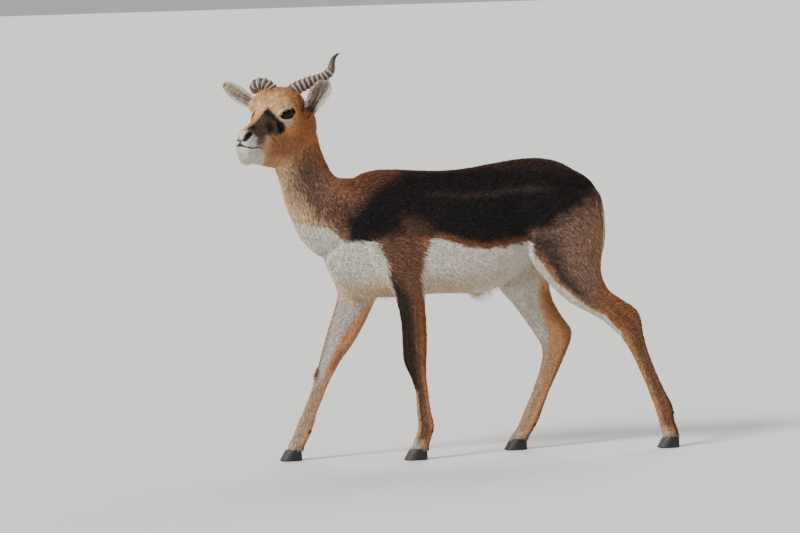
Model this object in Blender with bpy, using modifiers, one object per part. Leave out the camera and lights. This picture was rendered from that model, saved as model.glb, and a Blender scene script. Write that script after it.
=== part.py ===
"""Life-size model of a young male blackbuck, walking, with its head turned to its left.

Metres, +Z up. The animal walks toward -X and its left side faces -Y. The body is built from
smooth lofts along the spine, the neck, the head and each leg, which are fused into one skin and
parted again with thin cuts where a person would name the parts. Eyes, horns, ears, hooves and
tail are pieces of their own.
"""
import math

import bmesh
import bpy
import numpy as np
from mathutils import Matrix, Vector

# driving sizes
GAP = 0.0003
ROOM = 0.0012
SIDES = 28
RING_STEP = 0.012
HEAD_STEP = 0.008
TRUNK_POWER = 2.25
LIMB_POWER = 2.2
BODY_VOXEL = 0.0050
HEAD_VOXEL = 0.0026
BODY_TRIANGLES = 4300
HEAD_TRIANGLES = 1900
BODY_SMOOTHING = 7
HEAD_SMOOTHING = 12
HOOF_TOP = 0.030
CRUMB = 20

# the head's own frame: forward along the mouth line, left and up, about the point between the eyes
HEAD_ORIGIN = Vector((-0.444, -0.044, 0.918))
HEAD_YAW = math.radians(41.0)
HEAD_PITCH = math.radians(1.5)
HEAD_ROLL = math.radians(-2.0)

# eye: half sizes along the lids, up and out, its place and the way it looks
EYE_RADII = (0.0195, 0.0165, 0.0150)
EYE_PLACE = (0.020, 0.0485, 0.003)
EYE_FACING = (0.42, 0.90, 0.06)
# lids: an almond line round the eye, its height above the eye's middle, and the roll along it
LID_LENGTH = 0.0375
LID_HEIGHT = 0.0290
LID_SEAT = 0.0108
LID_ROLL = 0.0030
LID_STEPS = 18
LID_SHARPNESS = 0.25
LID_SLOPE = -0.25
LID_DROP = 0.0025
TUBE_SIDES = 8
# opening between the lids: heights above the eye's middle and its share of the lid line there
SLIT = ((0.002, 0.80), (0.011, 0.84), (0.030, 1.20))

# horn
HORN_RADIUS = 0.0180
HORN_RINGS = 9
HORN_SIDES = 12
HORN_TIP_STEPS = 9
RING_HEIGHT = 0.0018
RING_FADE = 0.4
PLAIN_ROOT = 0.16
RINGED_SHARE = 0.72
HORN_FLATNESS = 0.88
HORN_ACROSS = (0.3, 1.0, 0.2)
# how the horn's radius falls from its root to its tip
HORN_TAPER = ((0.0, 0.2, 0.5, RINGED_SHARE, 0.86, 1.0), (1.0, 0.98, 0.84, 0.66, 0.42, 0.07))

# muzzle: each ball of a nostril as place, half sizes, and the groove of the mouth
NOSTRIL_TURN = math.radians(-17.0)
NOSTRIL_TILT = math.radians(24.0)
NOSTRIL = [
    ((0.1370, 0.0225, -0.0560), (0.0160, 0.0055, 0.0048)),
    ((0.1480, 0.0190, -0.0610), (0.0080, 0.0065, 0.0068)),
]
MOUTH_BACK = 0.098
MOUTH_REACH = (0.0560, 0.0270)
MOUTH_POWER = 0.75
MOUTH_OPENING = 0.0022
MOUTH_STEPS = 12
# height of the mouth's line from the front of the lips to their corner
MOUTH_WAVE = ((0.0, 0.35, 0.70, 1.0), (-0.0790, -0.0855, -0.0820, -0.0855))

# colours, linear, with roughness
FLESH_COLOURS = {
    "torso": (0.105, 0.050, 0.026),
    "neck": (0.27, 0.115, 0.040),
    "head": (0.42, 0.19, 0.065),
    "leg": (0.38, 0.16, 0.055),
    "tail": (0.30, 0.15, 0.07),
    "ear": (0.36, 0.22, 0.13),
}
HORN_COLOUR = (0.16, 0.125, 0.095)
HOOF_COLOUR = (0.012, 0.011, 0.010)
EYE_COLOUR = (0.010, 0.006, 0.004)

# outline pairs of the trunk: top (x, z), bottom (x, z), half width, and how far the width sits low
TORSO = [
    ((-0.330, 0.610), (-0.318, 0.520), 0.038, 0.05),
    ((-0.298, 0.690), (-0.292, 0.472), 0.064, 0.05),
    ((-0.250, 0.737), (-0.240, 0.440), 0.080, 0.05),
    ((-0.190, 0.760), (-0.185, 0.428), 0.088, 0.08),
    ((-0.130, 0.762), (-0.125, 0.426), 0.094, 0.10),
    ((-0.066, 0.757), (-0.060, 0.430), 0.100, 0.14),
    ((0.000, 0.754), (0.005, 0.430), 0.106, 0.18),
    ((0.070, 0.758), (0.078, 0.428), 0.107, 0.18),
    ((0.140, 0.768), (0.140, 0.440), 0.102, 0.14),
    ((0.200, 0.776), (0.195, 0.470), 0.096, 0.05),
    ((0.260, 0.777), (0.250, 0.500), 0.094, 0.00),
    ((0.310, 0.767), (0.310, 0.520), 0.090, 0.00),
    ((0.355, 0.744), (0.360, 0.530), 0.078, 0.00),
    ((0.392, 0.719), (0.396, 0.550), 0.056, 0.00),
    ((0.416, 0.690), (0.414, 0.590), 0.028, 0.00),
]

# outline pairs of the neck: front (x, z), back (x, z), half width, centre y
NECK = [
    ((-0.270, 0.530), (-0.140, 0.690), 0.080, 0.000),
    ((-0.345, 0.548), (-0.200, 0.742), 0.077, 0.000),
    ((-0.384, 0.590), (-0.244, 0.743), 0.069, 0.000),
    ((-0.410, 0.649), (-0.287, 0.752), 0.059, 0.000),
    ((-0.425, 0.694), (-0.311, 0.793), 0.054, 0.000),
    ((-0.435, 0.737), (-0.325, 0.832), 0.051, -0.003),
    ((-0.450, 0.780), (-0.333, 0.868), 0.050, -0.010),
    ((-0.462, 0.815), (-0.338, 0.905), 0.048, -0.016),
    ((-0.455, 0.870), (-0.350, 0.930), 0.036, -0.020),
]

# outline pairs of each leg: front (x, z), back (x, z), centre distance from the middle, half width
LEFT_FORE = [
    ((-0.235, 0.640), (-0.090, 0.650), 0.052, 0.030),
    ((-0.235, 0.560), (-0.058, 0.580), 0.064, 0.036),
    ((-0.196, 0.490), (-0.050, 0.500), 0.071, 0.033),
    ((-0.152, 0.434), (-0.070, 0.432), 0.074, 0.027),
    ((-0.136, 0.366), (-0.070, 0.364), 0.075, 0.0235),
    ((-0.134, 0.310), (-0.070, 0.308), 0.077, 0.0225),
    ((-0.130, 0.255), (-0.073, 0.254), 0.076, 0.0225),
    ((-0.116, 0.222), (-0.074, 0.222), 0.075, 0.0200),
    ((-0.1035, 0.181), (-0.0695, 0.181), 0.074, 0.0150),
    ((-0.1010, 0.130), (-0.0640, 0.130), 0.073, 0.0145),
    ((-0.0985, 0.088), (-0.0560, 0.086), 0.072, 0.0190),
    ((-0.1075, 0.055), (-0.0640, 0.055), 0.071, 0.0175),
    ((-0.1160, 0.032), (-0.0720, 0.031), 0.070, 0.0220),
    ((-0.1160, 0.020), (-0.0740, 0.019), 0.070, 0.0200),
]
RIGHT_FORE = [
    ((-0.265, 0.630), (-0.110, 0.640), 0.052, 0.030),
    ((-0.300, 0.560), (-0.110, 0.570), 0.062, 0.036),
    ((-0.293, 0.490), (-0.130, 0.490), 0.070, 0.033),
    ((-0.274, 0.431), (-0.178, 0.407), 0.071, 0.028),
    ((-0.286, 0.386), (-0.203, 0.358), 0.073, 0.0245),
    ((-0.303, 0.339), (-0.234, 0.308), 0.071, 0.0230),
    ((-0.324, 0.274), (-0.274, 0.256), 0.070, 0.0225),
    ((-0.334, 0.238), (-0.294, 0.223), 0.070, 0.0205),
    ((-0.344, 0.209), (-0.308, 0.197), 0.070, 0.0160),
    ((-0.3575, 0.173), (-0.3235, 0.161), 0.070, 0.0150),
    ((-0.373, 0.137), (-0.339, 0.127), 0.070, 0.0145),
    ((-0.391, 0.100), (-0.351, 0.088), 0.070, 0.0190),
    ((-0.405, 0.067), (-0.365, 0.057), 0.070, 0.0175),
    ((-0.4200, 0.036), (-0.3790, 0.031), 0.070, 0.0220),
    ((-0.4210, 0.023), (-0.3830, 0.019), 0.070, 0.0200),
]
LEFT_HIND = [
    ((0.225, 0.705), (0.392, 0.690), 0.040, 0.040),
    ((0.190, 0.610), (0.412, 0.620), 0.055, 0.050),
    ((0.210, 0.525), (0.414, 0.545), 0.063, 0.050),
    ((0.255, 0.460), (0.408, 0.474), 0.069, 0.043),
    ((0.320, 0.397), (0.424, 0.427), 0.073, 0.032),
    ((0.396, 0.352), (0.454, 0.402), 0.075, 0.0245),
    ((0.4540, 0.300), (0.5060, 0.357), 0.076, 0.0205),
    ((0.4760, 0.268), (0.5175, 0.294), 0.077, 0.0185),
    ((0.5040, 0.208), (0.5415, 0.218), 0.078, 0.0155),
    ((0.5280, 0.148), (0.5670, 0.158), 0.078, 0.0150),
    ((0.5460, 0.096), (0.5905, 0.107), 0.078, 0.0190),
    ((0.5550, 0.062), (0.5950, 0.070), 0.078, 0.0175),
    ((0.5610, 0.036), (0.6050, 0.037), 0.078, 0.0215),
    ((0.5640, 0.022), (0.6050, 0.022), 0.078, 0.0195),
]
RIGHT_HIND = [
    ((0.215, 0.705), (0.385, 0.690), 0.040, 0.040),
    ((0.150, 0.610), (0.395, 0.620), 0.055, 0.050),
    ((0.140, 0.525), (0.360, 0.530), 0.062, 0.050),
    ((0.164, 0.432), (0.300, 0.456), 0.066, 0.041),
    ((0.200, 0.388), (0.304, 0.401), 0.067, 0.033),
    ((0.229, 0.346), (0.327, 0.356), 0.067, 0.026),
    ((0.254, 0.308), (0.355, 0.312), 0.067, 0.0215),
    ((0.2710, 0.280), (0.3540, 0.289), 0.067, 0.0200),
    ((0.2760, 0.252), (0.3370, 0.247), 0.067, 0.0190),
    ((0.2700, 0.221), (0.3210, 0.214), 0.067, 0.0175),
    ((0.2460, 0.155), (0.2890, 0.148), 0.067, 0.0155),
    ((0.2320, 0.125), (0.2760, 0.117), 0.067, 0.0155),
    ((0.2140, 0.085), (0.2600, 0.078), 0.067, 0.0190),
    ((0.2000, 0.057), (0.2440, 0.050), 0.067, 0.0175),
    ((0.1830, 0.034), (0.2290, 0.030), 0.067, 0.0215),
    ((0.1800, 0.022), (0.2240, 0.020), 0.067, 0.0195),
]

# outline pairs of the head in its own frame: top (forward, up), bottom (forward, up), half width,
# how far the width sits low, and how square the section is
HEAD = [
    ((0.1560, -0.0630), (0.1530, -0.0930), 0.0120, 0.00, 2.3),
    ((0.1515, -0.0500), (0.1475, -0.1105), 0.0215, 0.00, 2.3),
    ((0.1380, -0.0370), (0.1320, -0.1215), 0.0260, 0.05, 2.3),
    ((0.1140, -0.0250), (0.1040, -0.1260), 0.0275, 0.05, 2.3),
    ((0.0900, -0.0100), (0.0720, -0.1300), 0.0310, 0.00, 2.3),
    ((0.0680, 0.0080), (0.0400, -0.1350), 0.0385, -0.14, 2.4),
    ((0.0520, 0.0260), (0.0120, -0.1390), 0.0470, -0.28, 2.6),
    ((0.0340, 0.0460), (-0.0140, -0.1400), 0.0545, -0.30, 2.9),
    ((0.0040, 0.0610), (-0.0380, -0.1350), 0.0565, -0.22, 2.8),
    ((-0.0340, 0.0670), (-0.0600, -0.1250), 0.0520, -0.10, 2.4),
    ((-0.0700, 0.0550), (-0.0780, -0.1050), 0.0450, 0.00, 2.3),
    ((-0.0960, 0.0300), (-0.0920, -0.0700), 0.0300, 0.00, 2.2),
]

# middle line of each horn in the head's frame, from its root in the skull to its tip
LEFT_HORN = [
    (-0.010, 0.016, 0.036), (-0.021, 0.026, 0.055), (-0.032, 0.034, 0.067), (-0.048, 0.048, 0.078),
    (-0.066, 0.063, 0.087), (-0.079, 0.073, 0.092), (-0.093, 0.082, 0.099), (-0.102, 0.088, 0.108),
    (-0.110, 0.091, 0.118), (-0.113, 0.091, 0.131), (-0.118, 0.093, 0.147), (-0.125, 0.097, 0.156),
    (-0.133, 0.102, 0.161),
]
RIGHT_HORN = [
    (-0.024, -0.022, 0.034), (-0.023, -0.032, 0.056), (-0.020, -0.042, 0.069), (-0.014, -0.054, 0.077),
    (-0.009, -0.067, 0.078), (-0.010, -0.080, 0.073), (-0.020, -0.091, 0.066), (-0.036, -0.097, 0.063),
    (-0.056, -0.098, 0.065), (-0.078, -0.095, 0.071), (-0.096, -0.090, 0.080),
]

# each ear: root, direction and the way its cup faces, in the head's frame, with its length and
# half its width
LEFT_EAR = ((-0.056, 0.052, -0.002), (0.02, 0.61, 0.79), (0.70, 0.50, -0.35), 0.116, 0.0262)
RIGHT_EAR = ((-0.034, -0.060, 0.000), (0.36, -0.77, 0.54), (0.86, 0.50, 0.10), 0.143, 0.0200)
EAR_THICKNESS = 0.0040
EAR_ROWS = 14
EAR_COLUMNS = 9
# along the ear from inside its root to its tip: half width as a share, and half angle of the cup
EAR_LOBE = ((-0.12, 0.0, 0.12, 0.30, 0.50, 0.68, 0.84, 0.94, 1.0),
            (0.42, 0.45, 0.54, 0.74, 0.95, 1.0, 0.83, 0.54, 0.20))
EAR_CURL = ((-0.12, 0.0, 0.3, 0.6, 1.0), (150.0, 140.0, 92.0, 60.0, 40.0))
EAR_SHEET = ((-0.12, 0.2, 1.0), (1.3, 1.0, 0.55))
EAR_BOWL = 0.4
EAR_SEAT = 0.22

# tail: front (x, z), back (x, z), centre y, half width
TAIL = [
    ((0.386, 0.690), (0.402, 0.708), 0.0, 0.017),
    ((0.401, 0.668), (0.423, 0.684), 0.0, 0.019),
    ((0.412, 0.640), (0.434, 0.648), 0.0, 0.020),
    ((0.415, 0.600), (0.439, 0.602), 0.0, 0.020),
    ((0.415, 0.560), (0.438, 0.560), 0.0, 0.018),
    ((0.416, 0.530), (0.434, 0.530), 0.0, 0.013),
    ((0.422, 0.512), (0.428, 0.512), 0.0, 0.004),
]

# the two small claws behind each fetlock: place of the pair's middle and spread to each side
DEWCLAWS = {
    "fore_pastern_left": (-0.0635, -0.072, 0.073),
    "fore_pastern_right": (-0.3620, 0.070, 0.074),
    "hind_pastern_left": (0.5880, -0.078, 0.089),
    "hind_pastern_right": (0.2470, 0.067, 0.065),
}
CLAW_SPREAD = 0.0115
CLAW_SIZE = (0.0075, 0.0060, 0.0110)
CLAW_TILT = math.radians(35.0)


def head_matrix():
    """World matrix of the head's frame, whose axes are forward, left and up."""
    forward = Vector((-math.cos(HEAD_YAW), -math.sin(HEAD_YAW), 0.0))
    left = Vector((math.sin(HEAD_YAW), -math.cos(HEAD_YAW), 0.0))
    up = Vector((0.0, 0.0, 1.0))
    turn = Matrix((forward, left, up)).transposed()
    tip = Matrix.Rotation(-HEAD_PITCH, 3, "Y") @ Matrix.Rotation(HEAD_ROLL, 3, "X")
    return Matrix.Translation(HEAD_ORIGIN) @ (turn @ tip).to_4x4()


HEAD_MATRIX = head_matrix()


def clear_scene():
    """Remove whatever the file starts with."""
    for thing in list(bpy.data.objects):
        bpy.data.objects.remove(thing, do_unlink=True)


def collection(name):
    """A collection of this name, linked to the scene."""
    group = bpy.data.collections.new(name)
    bpy.context.scene.collection.children.link(group)
    return group


def material(name, colour, roughness, metallic=0.0):
    """A Principled material of one colour."""
    made = bpy.data.materials.get(name)
    if made:
        return made
    made = bpy.data.materials.new(name)
    made.use_nodes = True
    shader = made.node_tree.nodes["Principled BSDF"]
    shader.inputs["Base Color"].default_value = (*colour, 1.0)
    shader.inputs["Roughness"].default_value = roughness
    shader.inputs["Metallic"].default_value = metallic
    return made


def resample(values, spots, wanted):
    """Smooth curve through rows of values at the given spots, read at the wanted ones.

    A cubic Hermite curve, whose slope at each spot is that of the chord between its neighbours.
    """
    values = np.asarray(values, dtype=float)
    slope = np.gradient(values, spots, axis=0)
    cell = np.clip(np.searchsorted(spots, wanted, side="right") - 1, 0, len(spots) - 2)
    width = (spots[cell + 1] - spots[cell])[:, None]
    t = (wanted - spots[cell])[:, None] / width
    start, end = values[cell], values[cell + 1]
    return ((2 * t**3 - 3 * t**2 + 1) * start + (t**3 - 2 * t**2 + t) * width * slope[cell]
            + (3 * t**2 - 2 * t**3) * end + (t**3 - t**2) * width * slope[cell + 1])


def loft_rings(centre, reach, side, egg, power, step=RING_STEP, sides=SIDES):
    """Grid of points of a loft: superellipse rings with half axes reach and side.

    Point(t) = centre + reach C + side S (1 - egg C), with C and S the signed powers 2/power of
    cos t and sin t. The rings are resampled along the way so that they lie a step apart.
    """
    length = np.concatenate([[0.0], np.cumsum(np.linalg.norm(np.diff(centre, axis=0), axis=1))])
    count = max(int(length[-1] / step), 3)
    wanted = np.linspace(0.0, length[-1], count + 1)
    rows = np.hstack([centre, reach, side, egg[:, None], power[:, None]])
    rows = resample(rows, length, wanted)
    turn = np.linspace(0.0, 2 * math.pi, sides, endpoint=False)
    exponent = (2.0 / rows[:, 10])[:, None]
    along = np.sign(np.cos(turn)) * np.abs(np.cos(turn)) ** exponent
    across = np.sign(np.sin(turn)) * np.abs(np.sin(turn)) ** exponent
    across = across * (1.0 - rows[:, 9:10] * along)
    return (rows[:, None, 0:3] + along[:, :, None] * rows[:, None, 3:6]
            + across[:, :, None] * rows[:, None, 6:9])


def closed_mesh(name, grid):
    """Closed mesh of a grid of rings, with a fan on each end, its faces pointing out."""
    rings, sides = grid.shape[:2]
    points = grid.reshape(-1, 3)
    ring = np.arange(rings - 1)[:, None] * sides
    spot = np.arange(sides)[None, :]
    ahead = (spot + 1) % sides
    quads = np.stack([ring + spot, ring + ahead, ring + sides + ahead, ring + sides + spot], axis=-1)
    ends = np.vstack([grid[0].mean(axis=0), grid[-1].mean(axis=0)])
    points = np.vstack([points, ends])
    first, last = rings * sides, rings * sides + 1
    faces = quads.reshape(-1, 4).tolist()
    faces += [(first, (i + 1) % sides, i) for i in range(sides)]
    base = (rings - 1) * sides
    faces += [(last, base + i, base + (i + 1) % sides) for i in range(sides)]
    mesh = bpy.data.meshes.new(name)
    mesh.from_pydata(points.tolist(), [], faces)
    outward(mesh)
    return mesh


def outward(mesh):
    """Turn a closed mesh's faces so that they point out."""
    work = bmesh.new()
    work.from_mesh(mesh)
    bmesh.ops.remove_doubles(work, verts=work.verts, dist=1e-6)
    bmesh.ops.recalc_face_normals(work, faces=work.faces)
    if work.calc_volume(signed=True) < 0:
        bmesh.ops.reverse_faces(work, faces=work.faces)
    work.to_mesh(mesh)
    work.free()


def side_loft(name, rows, sign=1.0, power=LIMB_POWER, sides=SIDES):
    """Loft of outline pairs seen from the side: (first point, second point, y or width, ...)."""
    first = np.array([row[0] for row in rows])
    second = np.array([row[1] for row in rows])
    y = np.array([row[2] for row in rows]) * sign
    width = np.array([row[3] for row in rows])
    middle = (first + second) / 2
    half = (first - second) / 2
    centre = np.column_stack([middle[:, 0], y, middle[:, 1]])
    reach = np.column_stack([half[:, 0], np.zeros(len(rows)), half[:, 1]])
    side = np.column_stack([np.zeros(len(rows)), width, np.zeros(len(rows))])
    grid = loft_rings(centre, reach, side, np.zeros(len(rows)), np.full(len(rows), power), sides=sides)
    return closed_mesh(name, grid)


def trunk_loft(rows, step=RING_STEP):
    """Rings of a loft of (top, bottom, half width, egg, power) pairs in the plane y = 0."""
    top = np.array([row[0] for row in rows])
    bottom = np.array([row[1] for row in rows])
    width = np.array([row[2] for row in rows])
    egg = np.array([row[3] for row in rows])
    power = np.array([row[4] for row in rows])
    middle = (top + bottom) / 2
    half = (top - bottom) / 2
    flat = np.zeros(len(rows))
    centre = np.column_stack([middle[:, 0], flat, middle[:, 1]])
    reach = np.column_stack([half[:, 0], flat, half[:, 1]])
    side = np.column_stack([flat, width, flat])
    return loft_rings(centre, reach, side, egg, power, step)


def add_object(name, mesh, group, matrix=None):
    """Object of a mesh, its matrix applied to the points."""
    if matrix is not None:
        mesh.transform(matrix)
        if matrix.determinant() < 0:
            mesh.flip_normals()
    thing = bpy.data.objects.new(name, mesh)
    group.objects.link(thing)
    return thing


def ball(name, place, radii, group, matrix=None, segments=20, rings=12):
    """Ellipsoid of the three radii about a place."""
    mesh = bpy.data.meshes.new(name)
    work = bmesh.new()
    bmesh.ops.create_uvsphere(work, u_segments=segments, v_segments=rings, radius=1.0)
    work.to_mesh(mesh)
    work.free()
    local = Matrix.Translation(place) @ Matrix.Diagonal((*radii, 1.0))
    return add_object(name, mesh, group, (matrix or Matrix.Identity(4)) @ local)


def evaluated(thing):
    """Mesh of an object with its modifiers applied."""
    graph = bpy.context.evaluated_depsgraph_get()
    return bpy.data.meshes.new_from_object(thing.evaluated_get(graph))


def remove(things):
    """Remove objects."""
    for thing in list(things):
        bpy.data.objects.remove(thing, do_unlink=True)


def apply_modifiers(thing):
    """Put an object's modifiers into its mesh."""
    mesh = evaluated(thing)
    thing.modifiers.clear()
    thing.data = mesh


def fused(name, pieces, voxel, smoothing, triangles, group):
    """One skin over overlapping pieces: voxel remesh, smoothing and a collapse to a count."""
    work = bmesh.new()
    for piece in pieces:
        work.from_mesh(piece.data)
    mesh = bpy.data.meshes.new(name)
    work.to_mesh(mesh)
    work.free()
    remove(pieces)
    skin = add_object(name, mesh, group)
    melt = skin.modifiers.new("one skin", "REMESH")
    melt.mode = "VOXEL"
    melt.voxel_size = voxel
    soften = skin.modifiers.new("soft joins", "SMOOTH")
    soften.factor = 0.5
    soften.iterations = smoothing
    split = skin.modifiers.new("triangles", "TRIANGULATE")
    split.quad_method = "BEAUTY"
    apply_modifiers(skin)
    thin = skin.modifiers.new("fewer faces", "DECIMATE")
    thin.ratio = triangles / len(skin.data.polygons)
    apply_modifiers(skin)
    return skin


def boolean(thing, tool, operation, solver="EXACT"):
    """Boolean of an object with another one or with a collection, applied."""
    step = thing.modifiers.new("boolean", "BOOLEAN")
    step.operation = operation
    step.solver = solver
    if isinstance(tool, bpy.types.Collection):
        step.operand_type = "COLLECTION"
        step.collection = tool
    else:
        step.object = tool
    apply_modifiers(thing)


def largest(mesh):
    """Keep a mesh's largest closed surface, and weld points that nearly touch."""
    work = bmesh.new()
    work.from_mesh(mesh)
    bmesh.ops.remove_doubles(work, verts=work.verts, dist=2e-5)
    bmesh.ops.dissolve_degenerate(work, edges=work.edges, dist=2e-5)
    left = set(work.verts)
    best = []
    while left:
        seed = left.pop()
        shell, front = [seed], [seed]
        while front:
            vertex = front.pop()
            for edge in vertex.link_edges:
                other = edge.other_vert(vertex)
                if other in left:
                    left.remove(other)
                    shell.append(other)
                    front.append(other)
        if len(shell) > len(best):
            best = shell
    keep = set(best)
    bmesh.ops.delete(work, geom=[v for v in work.verts if v not in keep], context="VERTS")
    bmesh.ops.triangulate(work, faces=work.faces)
    work.to_mesh(mesh)
    work.free()


def shells(thing, group):
    """Split an object into one object for each closed surface."""
    work = bmesh.new()
    work.from_mesh(thing.data)
    work.verts.ensure_lookup_table()
    left = set(range(len(work.verts)))
    pieces = []
    while left:
        seed = left.pop()
        shell, front = {seed}, [seed]
        while front:
            for edge in work.verts[front.pop()].link_edges:
                for vertex in edge.verts:
                    if vertex.index in left:
                        left.remove(vertex.index)
                        shell.add(vertex.index)
                        front.append(vertex.index)
        pieces.append(shell)
    work.free()
    made = []
    for number, shell in enumerate(pieces):
        part = bmesh.new()
        part.from_mesh(thing.data)
        part.verts.ensure_lookup_table()
        bmesh.ops.delete(part, geom=[v for v in part.verts if v.index not in shell], context="VERTS")
        mesh = bpy.data.meshes.new(f"{thing.name} {number}")
        part.to_mesh(mesh)
        part.free()
        made.append(add_object(mesh.name, mesh, group))
    remove([thing])
    return made


def slab(name, place, normal, size, group, lateral=(0.0, 1.0, 0.0)):
    """Thin cut: a plate GAP thick about a place, size[0] along the side view and size[1] across."""
    mesh = bpy.data.meshes.new(name)
    work = bmesh.new()
    bmesh.ops.create_cube(work, size=1.0)
    work.to_mesh(mesh)
    work.free()
    up = Vector(normal).normalized()
    along = Vector(lateral).cross(up).normalized()
    wide = up.cross(along)
    turn = Matrix((along, wide, up)).transposed().to_4x4()
    matrix = Matrix.Translation(place) @ turn @ Matrix.Diagonal((size[0], size[1], GAP, 1.0))
    cut = add_object(name, mesh, group, matrix)
    cut.display_type = "WIRE"
    return cut


def across(rows, index, share, sign):
    """Place and direction of a cut between two outline pairs of a leg."""
    here, there = rows[index], rows[index + 1]

    def middle(row):
        return Vector(((row[0][0] + row[1][0]) / 2, row[2] * sign, (row[0][1] + row[1][1]) / 2))
    place = middle(here).lerp(middle(there), share)
    edge = Vector((here[1][0] - here[0][0], 0.0, here[1][1] - here[0][1]))
    edge = edge.lerp(Vector((there[1][0] - there[0][0], 0.0, there[1][1] - there[0][1])), share)
    normal = edge.cross(Vector((0.0, 1.0, 0.0)))
    return place, normal


LEGS = {
    "fore_left": (LEFT_FORE, -1.0),
    "fore_right": (RIGHT_FORE, 1.0),
    "hind_left": (LEFT_HIND, -1.0),
    "hind_right": (RIGHT_HIND, 1.0),
}
# where each leg is parted: name of the piece below the cut, row of the leg's outline, share of the
# way to the next row, and the cut's width
LEG_CUTS = {
    "fore_left": [("fore_leg_left", 3, 0.1, 0.16), ("fore_cannon_left", 7, 0.2, 0.08),
                  ("fore_pastern_left", 10, 0.1, 0.08)],
    "fore_right": [("fore_leg_right", 3, 0.0, 0.17), ("fore_cannon_right", 7, 0.3, 0.08),
                   ("fore_pastern_right", 11, 0.1, 0.08)],
    "hind_left": [("thigh_left", 3, 0.2, 0.22), ("hind_shank_left", 5, 0.3, 0.14),
                  ("hind_cannon_left", 7, 0.2, 0.09), ("hind_pastern_left", 10, 0.1, 0.08)],
    "hind_right": [("thigh_right", 3, 0.1, 0.21), ("hind_shank_right", 5, 0.3, 0.14),
                   ("hind_cannon_right", 8, 0.2, 0.10), ("hind_pastern_right", 12, 0.1, 0.08)],
}


# cuts through the base of the neck and behind the head: place, direction and size
NECK_CUT = Vector((-0.290, 0.0, 0.640))
NECK_NORMAL = Vector((-0.60, 0.0, 0.80))
NECK_CUT_SIZE = (0.46, 0.34)
HEAD_CUT = Vector((-0.392, -0.012, 0.836))
HEAD_NORMAL = Vector((-0.60, -0.22, 0.77))
HEAD_CUT_SIZE = (0.26, 0.26)
# legs are cut across their whole width up to this row of their outline, and narrowly below it
LAST_BODY_ROW = 3
LEG_CUT_WIDTH = 0.09
# the tuft of hair in the middle of the belly
BELLY_TUFT = ((0.084, 0.0, 0.424), (0.020, 0.010, 0.015))


def build_body(work_group, cut_group):
    """Trunk, neck and legs as one skin, parted with thin cuts; returns pieces by name."""
    trunk = trunk_loft([(*row, TRUNK_POWER) for row in TORSO])
    pieces = [
        add_object("trunk", closed_mesh("trunk", trunk), work_group),
        add_object("neck", side_loft("neck", [(a, b, y, w) for a, b, w, y in NECK]), work_group),
    ]
    pieces.append(ball("belly tuft", *BELLY_TUFT, work_group))
    for name, (rows, sign) in LEGS.items():
        pieces.append(add_object(name, side_loft(name, rows, sign), work_group))
    skin = fused("skin", pieces, BODY_VOXEL, BODY_SMOOTHING, BODY_TRIANGLES, work_group)
    cuts = []
    tests = []
    for leg, entries in LEG_CUTS.items():
        rows, sign = LEGS[leg]
        for name, index, share, size in entries:
            place, normal = across(rows, index, share, sign)
            wide = size if index <= LAST_BODY_ROW else LEG_CUT_WIDTH
            cuts.append(slab(name, place, normal, (size, wide), cut_group))
            below = Vector(normal).normalized()
            if below.z > 0:
                below = -below
            tests.append((name, place, below))
        foot = Vector(((rows[-1][0][0] + rows[-1][1][0]) / 2, rows[-1][2] * sign, HOOF_TOP))
        cuts.append(slab(leg + " sole", foot, (0.0, 0.0, 1.0), (LEG_CUT_WIDTH, LEG_CUT_WIDTH), cut_group))
    cuts.append(slab("neck base", NECK_CUT, NECK_NORMAL, NECK_CUT_SIZE, cut_group))
    cuts.append(slab("head", HEAD_CUT, HEAD_NORMAL, HEAD_CUT_SIZE, cut_group))
    for cut in cuts:
        boolean(skin, cut, "DIFFERENCE", "MANIFOLD")
    remove(cuts)
    return name_pieces(shells(skin, work_group), tests)


def centre_of(thing):
    """Mean of an object's points."""
    total = Vector()
    for vertex in thing.data.vertices:
        total += vertex.co
    return total / len(thing.data.vertices)


# how the parted pieces are told apart
TRUNK_LOW = 0.50
HEAD_LOW = 0.75
NECK_FRONT = -0.28
LEG_REACH = 0.17
LEG_ASIDE = 0.05


def name_pieces(made, tests):
    """Give each parted piece the name of the nearest cut that it lies below."""
    named = {}
    for thing in made:
        middle = centre_of(thing)
        if (middle - HEAD_CUT).dot(HEAD_NORMAL) > 0 and middle.z > HEAD_LOW:
            remove([thing])
            continue
        if max(v.co.z for v in thing.data.vertices) < HOOF_TOP or len(thing.data.vertices) < CRUMB:
            remove([thing])
            continue
        if middle.z > TRUNK_LOW:
            named["neck" if middle.x < NECK_FRONT else "torso"] = thing
            continue
        best = None
        for name, place, below in tests:
            offset = middle - place
            if offset.dot(below) > 0 and abs(offset.y) < LEG_ASIDE and offset.length < LEG_REACH:
                if best is None or offset.length < best[0]:
                    best = (offset.length, name)
        named[best[1]] = thing
    return named


# feet: front and back of the soles, and the foot's distance from the middle
FEET = {
    "fore_left": (-0.137, -0.078, -0.070),
    "fore_right": (-0.442, -0.386, 0.070),
    "hind_left": (0.548, 0.603, -0.078),
    "hind_right": (0.166, 0.223, 0.067),
}
TOE_HALF_WIDTH = 0.0115
TOE_CLEFT = 0.0030
TOE_SIDES = 16
TOE_LEVELS = (0.0, 0.12, 0.5, 0.85, 1.0)
# shares of the toe's length and width: how far the tip leans back, how the heel and the sides
# swell and draw in towards the top, and how sharp the tip is
TOE_LEAN = 0.30
HEEL_SWELL = 0.02
HEEL_DRAW = 0.03
SIDE_SWELL = 0.05
SIDE_DRAW = 0.10
TIP_SHARPNESS = 0.50


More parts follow.
